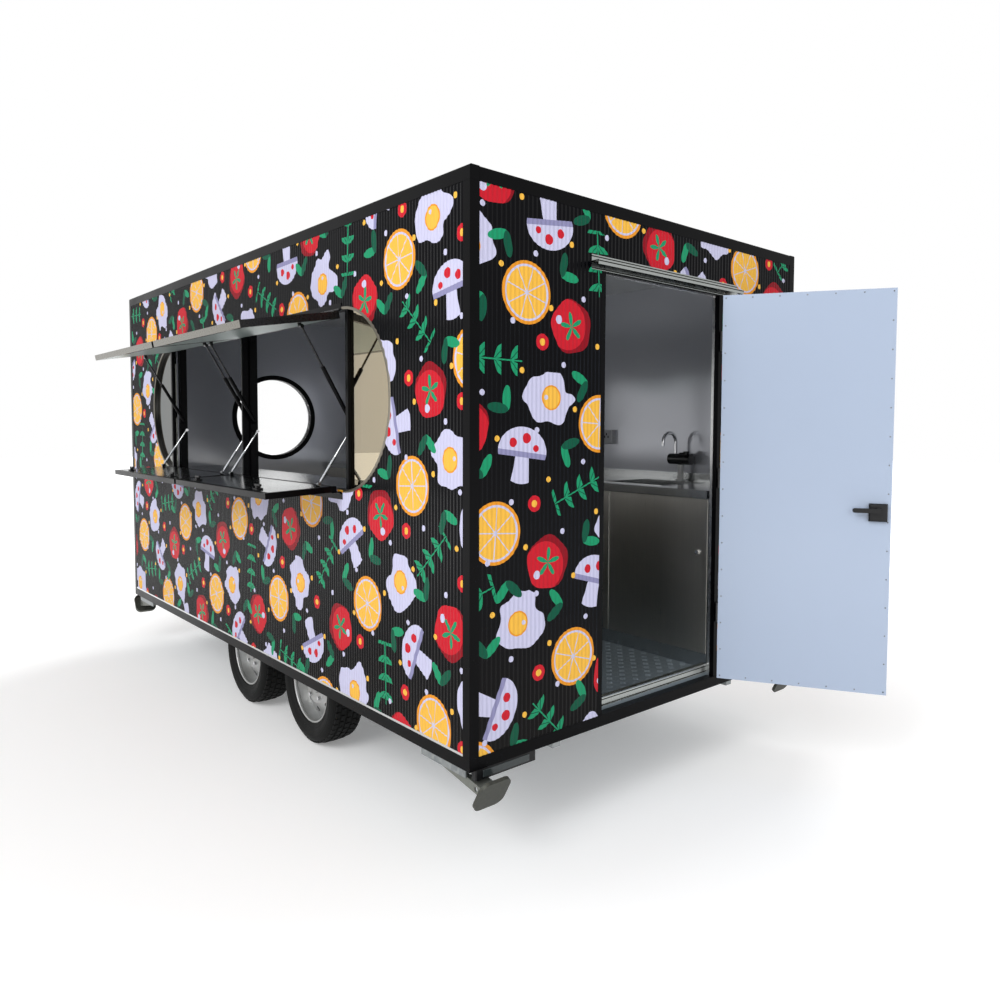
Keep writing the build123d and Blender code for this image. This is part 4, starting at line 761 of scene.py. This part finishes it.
for end in ENDS:
    nosed, tree = new_material(f"enamel_with_nosing_{end}", {"Specular IOR Level": 0.3})
    place = add_node(tree, "TexCoord").outputs["Object"]
    joint = f"flap_{end}_hinge"
    low, high = shut_box(f"flap_{end}", joint)
    down = hinged(joint).to_3x3() @ Vector((0, 0, -1))
    pivot = Vector(joints[joint]["pos_m"])
    limit = pivot.dot(down) + (pivot.z - low.z) - NOSING
    beyond = through(tree, place, ("VectorMath DOT_PRODUCT", down), ("Math GREATER_THAN", limit))
    along = add_node(tree, "SeparateXYZ", (place,)).outputs["X"]
    middle, span = (low.x + high.x) / 2, (high.x - low.x) / 2 - NOSING_END
    within = add_node(tree, "Math COMPARE", (along, middle, span))
    nosing = add_node(tree, "Math MULTIPLY", (beyond, within))
    vary(tree, nosing, ("#0a0a0c", "#7b7870"))
    to_shader(tree, nosing, "Metallic")
    vary(tree, mottle(tree, SCRATCH, 4), gloss=(0.16, 0.40))
    finish_node(f"flap_{end}", nosed)
    finish_node(f"shelf_{end}", black_enamel)


# Gas struts and shelf stays
# Drawn steel barrels in black paint on the flaps with black-chromed rods. The stays of the shelves
# are bright: plated barrels and chromed rods.
chrome = metal("chrome_plate", "#e3e4e6", 0.08, 0.004, (1, 1, 1), 0.03)
dark_chrome = metal("black_chrome", "#2a2a2c", 0.18, 0.004, (1, 1, 1), 0.05)
plated = metal("dull_plated_steel", "#85888b", 0.30, 0.004, (1, 1, 1), 0.05)
for end in ENDS:
    finish_node(f"flap_barrels_{end}", black_enamel)
    finish_node(f"flap_rods_{end}", dark_chrome)
    finish_node(f"shelf_barrels_{end}", plated)
    finish_node(f"shelf_rods_{end}", chrome)


# Wing latches on the shelves
# Small black die-cast turn latches screwed near the free edge; with the shelf up they hold it to
# the flap.
LATCH_PLACES = (-0.36, 0.36)
LATCH_SETBACK = 0.045
# Columns: half width, half height, near and far face in front of the shelf, eased edge.
LATCH_BLOCKS = (
    (0.022, 0.014, 0.0, 0.006, 0.002),
    (0.009, 0.009, 0.005, 0.016, 0.003),
    (0.030, 0.005, 0.014, 0.024, 0.003),
)
MOULD_GRAIN = 0.002
sockets = {"Base Color": linear("#0b0b0d"), "Specular IOR Level": 0.3}
black_plastic, tree = new_material("black_moulded_plastic", sockets)
vary(tree, mottle(tree, MOULD_GRAIN), gloss=(0.34, 0.52))
for end in ENDS:
    leaf, joint = f"shelf_{end}", f"shelf_{end}_hinge"
    low, high = shut_box(leaf, joint)
    inner = cabin_high.y - SHELF_THICK
    z = high.z - LATCH_SETBACK
    bm = bmesh.new()
    for offset in LATCH_PLACES:
        x = (low.x + high.x) / 2 + offset
        for wide, tall, near, far, ease in LATCH_BLOCKS:
            bar(bm, (x - wide, inner - far, z - tall), (x + wide, inner - near, z + tall), ease)
    bm.transform(hinged(joint))
    piece(f"shelf_latches_{end}", bm, black_plastic, leaf)


# Door
# A foam panel between two sheets: white-coated inside, printed and fluted outside, in a black
# edge profile. Small rivets run round the inner sheet; the slam lock is moulded plastic. The white
# coat is given the blue-grey it takes in shade: painted shade.
# Painted shade: the white inner coat is drawn in its blue-grey shaded colour.
SHADED_DOOR_COLOUR = "#a9b7cd"
DOOR_THICK = 0.035
DOOR_EDGE_GAP = 0.012
EDGE_PROFILE = 0.006
RIVET_PITCH = 0.122
RIVET_INSET = 0.013
RIVET_RADIUS = 0.0034
RIVET_RISE = 0.0012
leaf_low, leaf_high = shut_box("door_leaf", "door_hinge")
to_rest = hinged("door_hinge")
door_outer = leaf_high.x - DOOR_THICK
door_right = joints["door_hinge"]["pos_m"][1] + DOOR_EDGE_GAP
door_sheet = coated_sheet("white_door_sheet", SHADED_DOOR_COLOUR, 0.2)
tree = door_sheet.node_tree
place = add_node(tree, "TexCoord").outputs["Object"]
outward = to_rest.to_3x3() @ Vector((-1, 0, 0))
limit = (to_rest @ Vector((door_outer + EDGE_PROFILE, 0, 0))).dot(outward)
edge = through(tree, place, ("VectorMath DOT_PRODUCT", outward), ("Math GREATER_THAN", limit))
vary(tree, edge, (SHADED_DOOR_COLOUR, "#0a0a0c"))
finish_node("door_leaf", door_sheet)
finish_node("door_lock", black_plastic)
corner = Vector((door_outer + SKIN_SINK, leaf_high.y - LEAF_FRAME, leaf_low.z + LEAF_FRAME))
width = leaf_high.y - door_right - 2 * LEAF_FRAME
height = leaf_high.z - leaf_low.z - 2 * LEAF_FRAME
to_door = to_rest @ wall_frame(corner, RIGHT, BACK)
mesh = fluted_mesh("door_skin", width, height, to_door, rear_print(corner))
piece("door_skin", mesh, film, "door", smooth=True)


def repeat_group(name, sizes):
    """Starts a geometry node group that repeats a part in one finish. sizes are its other inputs."""
    group = bpy.data.node_groups.new(name, "GeometryNodeTree")
    for label, kind in {**sizes, "Part": "Object", "Finish": "Material"}.items():
        group.interface.new_socket(label, in_out="INPUT", socket_type=f"NodeSocket{kind}")
    group.interface.new_socket("Geometry", in_out="OUTPUT", socket_type="NodeSocketGeometry")
    return group, add_node(group, "NodeGroupInput").outputs


def lay_parts(group, given, points, turn=None):
    """Ends such a group: the part stands on each point, and all become one mesh in the finish."""
    part = add_node(group, "GeometryNodeObjectInfo", {"Object": given["Part"]}).outputs["Geometry"]
    laid = {"Points": points, "Instance": part}
    if turn:
        laid["Rotation"] = turn
    laid = add_node(group, "GeometryNodeInstanceOnPoints", laid)
    plain = add_node(group, "GeometryNodeRealizeInstances", {"Geometry": laid})
    coated = add_node(group, "GeometryNodeSetMaterial", {"Geometry": plain, "Material": given["Finish"]})
    add_node(group, "NodeGroupOutput", (coated,))


def run_nodes(name, group, values):
    """Runs a geometry node group once and returns what it makes as a plain mesh."""
    carrier = bpy.data.objects.new(name, bpy.data.meshes.new(name))
    bpy.context.collection.objects.link(carrier)
    modifier = carrier.modifiers.new(name, "NODES")
    modifier.node_group = group
    for socket in group.interface.items_tree:
        if socket.in_out == "INPUT":
            modifier[socket.identifier] = values[socket.name]
    depsgraph = bpy.context.evaluated_depsgraph_get()
    mesh = bpy.data.meshes.new_from_object(carrier.evaluated_get(depsgraph))
    carrier.modifiers.clear()
    bpy.data.objects.remove(carrier)
    return mesh


def pattern(name, bm):
    """An unlinked object that a node group repeats."""
    return bpy.data.objects.new(name, mesh_from(bm, name))


row_group, given = repeat_group("row", {"Count": "Int", "Start": "Vector", "Step": "Vector"})
line = {"Count": given["Count"], "Start Location": given["Start"], "Offset": given["Step"]}
lay_parts(row_group, given, add_node(row_group, "GeometryNodeMeshLine", line))
bm = bmesh.new()
bmesh.ops.create_cone(
    bm, cap_ends=True, segments=12, radius1=RIVET_RADIUS, radius2=RIVET_RADIUS * 0.6, depth=RIVET_RISE
)
bm.transform(Matrix.Rotation(radians(90), 4, "Y"))
rivet = pattern("rivet", bm)
face = leaf_high.x + RIVET_RISE / 2
left, right = leaf_high.y - RIVET_INSET, door_right + RIVET_INSET
foot, top = leaf_low.z + RIVET_INSET, leaf_high.z - RIVET_INSET
bm = bmesh.new()
for start, finish in (
    ((face, right, foot), (face, left, foot)),
    ((face, right, top), (face, left, top)),
    ((face, right, foot), (face, right, top)),
    ((face, left, foot), (face, left, top)),
):
    run = Vector(finish) - Vector(start)
    count = round(run.length / RIVET_PITCH) + 1
    row = {"Count": count, "Start": start, "Step": run / (count - 1), "Part": rivet, "Finish": plated}
    bm.from_mesh(run_nodes("rivet_row", row_group, row))
bm.transform(to_rest)
piece("door_rivets", bm, plated, "door", smooth=True)


# Counters, sink and tap
# Folded brushed stainless cupboards with lift-off doors and round cam locks, a welded bowl, and a
# tap with a chromed swan neck on a black heater body and a white stem.
COUNTER_LIP = 0.018
COUNTER_FOLD = 0.038
SPLASH_RISE = 0.042
DOOR_GAP = 0.004
DOOR_PROUD = 0.003
DOOR_EASE = 0.0012
KICK = 0.070
DOORS_PER_RUN = 6
KNOB_RADIUS = 0.013
KNOB_DEPTH = 0.010
KNOB_INSET = 0.055
KNOB_HEIGHT = 0.55
stainless = metal("brushed_stainless", "#c6c8c8", 0.20, 0.0012, (50, 1, 1), 0.04)
for node in ("sink_counter", "sink_bowl", "serving_counter"):
    finish_node(node, stainless)
upright_stainless = metal("upright_brushed_stainless", "#c6c3bc", 0.34, 0.0060, (1, 1, 60), 0.08)
for node, outward, splash in (("sink_counter", 1, SPLASH_RISE), ("serving_counter", -1, 0)):
    low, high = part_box(node)
    front = (high.y if outward > 0 else low.y) - outward * COUNTER_LIP
    top = high.z - splash - COUNTER_FOLD
    wide = (high.x - low.x) / DOORS_PER_RUN
    upright = Matrix.Rotation(radians(-90 * outward), 4, "X")
    bm = bmesh.new()
    knobs = bmesh.new()
    for index in range(DOORS_PER_RUN):
        x0 = low.x + index * wide + DOOR_GAP
        x1 = x0 + wide - 2 * DOOR_GAP
        face = front + outward * DOOR_PROUD
        bar(bm, (x0, front, low.z + KICK), (x1, face, top - DOOR_GAP), DOOR_EASE)
        y = front + outward * (DOOR_PROUD + KNOB_DEPTH / 2)
        place = Vector((x0 + KNOB_INSET, y, low.z + KNOB_HEIGHT))
        bmesh.ops.create_cone(
            knobs, cap_ends=True, segments=24, radius1=KNOB_RADIUS, radius2=KNOB_RADIUS * 0.8,
            depth=KNOB_DEPTH, matrix=Matrix.Translation(place) @ upright,
        )
    piece(f"{node}_doors", bm, upright_stainless, "trailer")
    piece(f"{node}_locks", knobs, chrome, "trailer")

TAP_STEM = 0.089
TAP_BODY = 0.151
tap_low, tap_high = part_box("tap")
tap_finish, tree = new_material("tap_in_three_finishes", {"Roughness": 0.16})
place = add_node(tree, "TexCoord").outputs["Object"]
axes = add_node(tree, "SeparateXYZ", (place,)).outputs
over_stem = add_node(tree, "Math GREATER_THAN", (axes["Z"], tap_low.z + TAP_STEM))
over_body = add_node(tree, "Math GREATER_THAN", (axes["Z"], tap_low.z + TAP_BODY))
at_neck = add_node(tree, "Math GREATER_THAN", (axes["X"], (tap_low.x + tap_high.x) / 2))
spout = add_node(tree, "Math MULTIPLY", (over_body, at_neck))
mouldings = {0: over_stem, 6: linear("#e6e6e4"), 7: linear("#0c0c0e")}
vary(tree, spout, (add_node(tree, "Mix", mouldings, data_type="RGBA"), "#e3e4e6"))
to_shader(tree, spout, "Metallic")
finish_node("tap", tap_finish)

# Columns: places of the socket's openings, across and up from its middle.
OPENINGS = ((-0.014, 0), (0.014, 0), (0, 0.016))
OPENING_HALF = (0.004, 0.007)
OPENING_PROUD = 0.0006
sockets = {"Base Color": linear("#9b9da0"), "Roughness": 0.5}
grey_plastic = new_material("grey_moulded_plastic", sockets)[0]
finish_node("wall_socket", grey_plastic)
low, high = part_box("wall_socket")
middle = (low + high) / 2
half_x, half_z = OPENING_HALF
# Painted shade: thin black pieces standing proud of the face stand for the dark insides of the openings.
bm = bmesh.new()
for across, up in OPENINGS:
    x, z = middle.x + across, middle.z + up
    bar(bm, (x - half_x, high.y, z - half_z), (x + half_x, high.y + OPENING_PROUD, z + half_z))
piece("socket_openings", bm, black_plastic, "trailer")


# Floor of chequered plate
# Rolled aluminium plate with groups of five raised bars, laid alternately at 45 degrees. It is
# screwed down in the aisle between the two runs of cupboards.
GROUP_PITCH = 0.042
BAR_PITCH = 0.0060
BAR_LENGTH = 0.028
BAR_WIDTH = 0.0032
BAR_RISE = 0.0005
SILL_DEPTH = 0.035
chequer = metal("chequered_aluminium", "#8f9ba3", 0.42, 0.003, (1, 1, 1), 0.06, 0.4)
finish_node("floor", chequer)
finish_node("wheel_boxes", chequer)
bm = bmesh.new()
for index in range(-2, 3):
    foot = [(-BAR_LENGTH / 2, 0), (0, -BAR_WIDTH / 2), (BAR_LENGTH / 2, 0), (0, BAR_WIDTH / 2)]
    lower = [bm.verts.new((x, y + index * BAR_PITCH, 0)) for x, y in foot]
    upper = [bm.verts.new((0.75 * x, 0.5 * y + index * BAR_PITCH, BAR_RISE)) for x, y in foot]
    bm.faces.new(upper)
    for corner in range(4):
        after = (corner + 1) % 4
        bm.faces.new((lower[corner], lower[after], upper[after], upper[corner]))
five_bars = pattern("five_bars", bm)

group, given = repeat_group("chequer_bars", {"Count X": "Int", "Count Y": "Int", "Pitch": "Float"})
grid = {"Vertices X": given["Count X"], "Vertices Y": given["Count Y"]}
for axis in "XY":
    count = given[f"Count {axis}"]
    grid[f"Size {axis}"] = through(group, count, ("Math SUBTRACT", 1), ("Math MULTIPLY", given["Pitch"]))
points = add_node(group, "GeometryNodeMeshGrid", grid)
index = add_node(group, "GeometryNodeInputIndex")
row = through(group, index, ("Math DIVIDE", given["Count Y"]), ("Math FLOOR",))
odd = through(group, index, ("Math MODULO", given["Count Y"]), ("Math ADD", row), ("Math MODULO", 2))
angle = add_node(group, "Math MULTIPLY_ADD", (odd, pi / 2, pi / 4))
lay_parts(group, given, points, add_node(group, "CombineXYZ", {"Z": angle}))
floor_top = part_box("floor")[1].z
aisle_low = Vector((rear_high.x + SILL_DEPTH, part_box("sink_counter")[1].y - COUNTER_LIP, floor_top))
aisle_high = Vector((front_low.x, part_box("serving_counter")[0].y + COUNTER_LIP, floor_top))
plate = {
    "Count X": int((aisle_high.x - aisle_low.x) / GROUP_PITCH),
    "Count Y": int((aisle_high.y - aisle_low.y) / GROUP_PITCH),
    "Pitch": GROUP_PITCH,
    "Part": five_bars,
    "Finish": chequer,
}
mesh = run_nodes("chequer_bars", group, plate)
mesh.transform(Matrix.Translation((aisle_low + aisle_high) / 2))
piece("chequer_bars", mesh, chequer, "trailer")


# Wheels
# Pressed steel wheels in silver paint on five bolts, with light-van tyres: a carcass turned to its
# section and five rows of moulded tread blocks.
TYRE_RADIUS = 0.2872
TREAD_BASE = 0.2808
BLOCKS_ROUND = 50
BLOCK_SHARE = 0.40
BLOCK_ROOT = 0.005
BLOCK_EASE = 0.0012
TURNS = 96
# Columns: radius and half width of the carcass, from the bead to the middle of the tread.
CARCASS = (
    (0.1840, 0.0655), (0.1850, 0.0702), (0.1900, 0.0738), (0.2000, 0.0768), (0.2060, 0.0792),
    (0.2075, 0.0784), (0.2180, 0.0832), (0.2300, 0.0864), (0.2400, 0.0868), (0.2415, 0.0874),
    (0.2430, 0.0864), (0.2530, 0.0836), (0.2620, 0.0784), (0.2690, 0.0710), (0.2738, 0.0610),
    (0.2775, 0.0460), (TREAD_BASE, 0.0250), (TREAD_BASE, 0.0),
)
# Columns: middle of the row, width of its blocks, turn of the row in blocks, drop towards the shoulder.
TREAD_ROWS = (
    (-0.0570, 0.0210, 0.0, 0.0058),
    (-0.0305, 0.0200, 0.5, 0.0010),
    (0.0, 0.0220, 0.0, 0.0),
    (0.0305, 0.0200, 0.5, 0.0010),
    (0.0570, 0.0210, 0.0, 0.0058),
)
# Columns: radius and place along the axle of the rolled lip round the rim.
RIM_LIP = (
    (0.1805, 0.0500), (0.1745, 0.0550), (0.1742, 0.0650), (0.1764, 0.0684),
    (0.1815, 0.0692), (0.1848, 0.0670), (0.1848, 0.0600), (0.1805, 0.0500),
)
BOLTS = 5
BOLT_CIRCLE = 0.076
BOLT_RADIUS = 0.0105
BOLT_DEPTH = 0.012
DISC_FACE = 0.040
DUST_SPOT = 1 / 14
DIRT_SPOT = 1 / 9
PAINT_FLAKE = 0.0015


def lathe(bm, profile, turns):
    """Turns a profile of radius and place along Y about the Y axis."""
    rings = []
    for step in range(turns):
        angle = 2 * pi * step / turns
        rings.append([bm.verts.new((r * cos(angle), y, r * sin(angle))) for r, y in profile])
    for here, there in zip(rings, rings[1:] + rings[:1]):
        for index in range(len(profile) - 1):
            bm.faces.new((here[index], here[index + 1], there[index + 1], there[index]))


rubber, tree = new_material("tyre_rubber", {"Specular IOR Level": 0.15})
vary(tree, mottle(tree, DUST_SPOT, 6), ("#090a0b", "#181817"), (0.5, 0.8))
silver_paint, tree = new_material("silver_wheel_paint", {"Metallic": 0.75})
vary(tree, mottle(tree, DIRT_SPOT, 6), ("#c6c8c9", "#999894"))
vary(tree, mottle(tree, PAINT_FLAKE), gloss=(0.30, 0.46))

ring_group, given = repeat_group("ring", {"Count": "Int", "Start": "Float"})
points = add_node(ring_group, "GeometryNodePoints", {"Count": given["Count"]})
index = add_node(ring_group, "GeometryNodeInputIndex")
share = through(ring_group, index, ("Math ADD", given["Start"]), ("Math DIVIDE", given["Count"]))
angle = add_node(ring_group, "Math MULTIPLY", (share, 2 * pi))
lay_parts(ring_group, given, points, add_node(ring_group, "CombineXYZ", {"Y": angle}))

tyre_bm = bmesh.new()
lathe(tyre_bm, CARCASS + tuple((r, -y) for r, y in reversed(CARCASS[:-1])), TURNS)
long = BLOCK_SHARE * 2 * pi * TYRE_RADIUS / BLOCKS_ROUND
for middle, width, start, drop in TREAD_ROWS:
    bm = bmesh.new()
    low = (-long, middle - width / 2, TREAD_BASE - drop - BLOCK_ROOT)
    bar(bm, low, (long, middle + width / 2, TYRE_RADIUS - drop - BLOCK_EASE), BLOCK_EASE)
    row = {"Count": BLOCKS_ROUND, "Start": start, "Part": pattern("tread_block", bm), "Finish": rubber}
    tyre_bm.from_mesh(run_nodes("tread_row", ring_group, row))
tyre_mesh = mesh_from(tyre_bm, "tyre")
bm = bmesh.new()
seat = Matrix.Translation((0, DISC_FACE + BOLT_DEPTH / 2, BOLT_CIRCLE))
bmesh.ops.create_cone(
    bm, cap_ends=True, segments=6, radius1=BOLT_RADIUS, radius2=BOLT_RADIUS * 0.9,
    depth=BOLT_DEPTH, matrix=seat @ Matrix.Rotation(radians(-90), 4, "X"),
)
row = {"Count": BOLTS, "Start": 0.0, "Part": pattern("wheel_bolt", bm), "Finish": chrome}
bolts_mesh = run_nodes("wheel_bolts", ring_group, row)
bm = bmesh.new()
lathe(bm, RIM_LIP, TURNS)
bmesh.ops.remove_doubles(bm, verts=bm.verts, dist=0.00001)
lip_mesh = mesh_from(bm, "rim_lip")
for end in ENDS:
    for side, turn in (("left", 0), ("right", 180)):
        wheel = f"{end}_{side}"
        hub = Vector(joints[f"wheel_{wheel}_spin"]["pos_m"])
        placed = Matrix.Translation(hub) @ Matrix.Rotation(radians(turn), 4, "Z")
        tyre, bolts, lip = [mesh.copy() for mesh in (tyre_mesh, bolts_mesh, lip_mesh)]
        for mesh in (tyre, bolts, lip):
            mesh.transform(placed)
        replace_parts(piece(f"road_tyre_{wheel}", tyre, rubber, f"wheel_{wheel}"), f"tyre_{wheel}")
        piece(f"wheel_bolts_{wheel}", bolts, chrome, f"wheel_{wheel}")
        piece(f"rim_lip_{wheel}", lip, silver_paint, f"wheel_{wheel}", smooth=True)
        finish_node(f"rim_{wheel}", silver_paint)


# Underframe, drawbar, steadies and jockey wheel
# Hot-dip galvanised steel, welded and bolted, with its spangle still showing. The axles are painted
# black, and the steadies' feet are worn and soiled.
SPANGLE = 0.018
galvanised, tree = new_material("galvanised_steel", {"Metallic": 0.85})
place = add_node(tree, "TexCoord").outputs["Object"]
flower = add_node(tree, "TexVoronoi", {"Vector": place, "Scale": 1 / SPANGLE})
grey = add_node(tree, "SeparateColor", (flower.outputs["Color"],))
vary(tree, grey, ("#83888a", "#a2a6a6"), (0.38, 0.58))
for node in ("chassis_frame", "drawbar", "coupling", "steady_bases"):
    finish_node(node, galvanised)
for node in ("jockey_tube", "jockey_stem", "jockey_fork"):
    finish_node(node, galvanised)
STEADY_FOOT = 0.322
STEADY_TILT = radians(10)
WEAR = 0.012
for end, outward in zip(ENDS, (-1, 1)):
    legs, tree = new_material(f"galvanised_leg_with_worn_foot_{end}", {"Metallic": 0.6})
    place = add_node(tree, "TexCoord").outputs["Object"]
    pivot = Vector(joints[f"steady_{end}_left_hinge"]["pos_m"])
    pivot.y = 0
    leg = Vector((outward * cos(STEADY_TILT), 0, -sin(STEADY_TILT)))
    limit = pivot.dot(leg) + STEADY_FOOT
    foot = through(tree, place, ("VectorMath DOT_PRODUCT", leg), ("Math GREATER_THAN", limit))
    wear = mottle(tree, WEAR, 5)
    zinc = add_node(tree, "Mix", {0: wear, 6: linear("#666a65"), 7: linear("#8c8d86")}, data_type="RGBA")
    soil = add_node(tree, "Mix", {0: wear, 6: linear("#2c2d29"), 7: linear("#5a5b54")}, data_type="RGBA")
    vary(tree, foot, (zinc, soil))
    vary(tree, wear, gloss=(0.42, 0.66))
    for side in ("left", "right"):
        finish_node(f"steady_{end}_{side}", legs)
finish_node("axles", black_enamel)
finish_node("jockey_wheel", rubber)


# Lamp bars
# Moulded black bars screwed under the rear corners, with a smoked lens let into each. The lens is
# smooth and picks up more light than the bar.
LENS_PROUD = 0.003
LENS_SINK = 0.002
LENS_INSET = 0.007
LENS_EASE = 0.0012
LENS_REACH = (0.030, 0.240)
finish_node("lamp_bars", black_plastic)
low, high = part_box("lamp_bars")
sockets = {"Base Color": linear("#33393a"), "Roughness": 0.14}
smoked_lens = new_material("smoked_lens", sockets)[0]
bm = bmesh.new()
for y, inward in ((high.y, -1), (low.y, 1)):
    near, far = [y + inward * reach for reach in LENS_REACH]
    corner = (low.x - LENS_PROUD, near, low.z + LENS_INSET)
    bar(bm, corner, (low.x + LENS_SINK, far, high.z - LENS_INSET), LENS_EASE)
piece("lamp_lenses", bm, smoked_lens, "trailer")
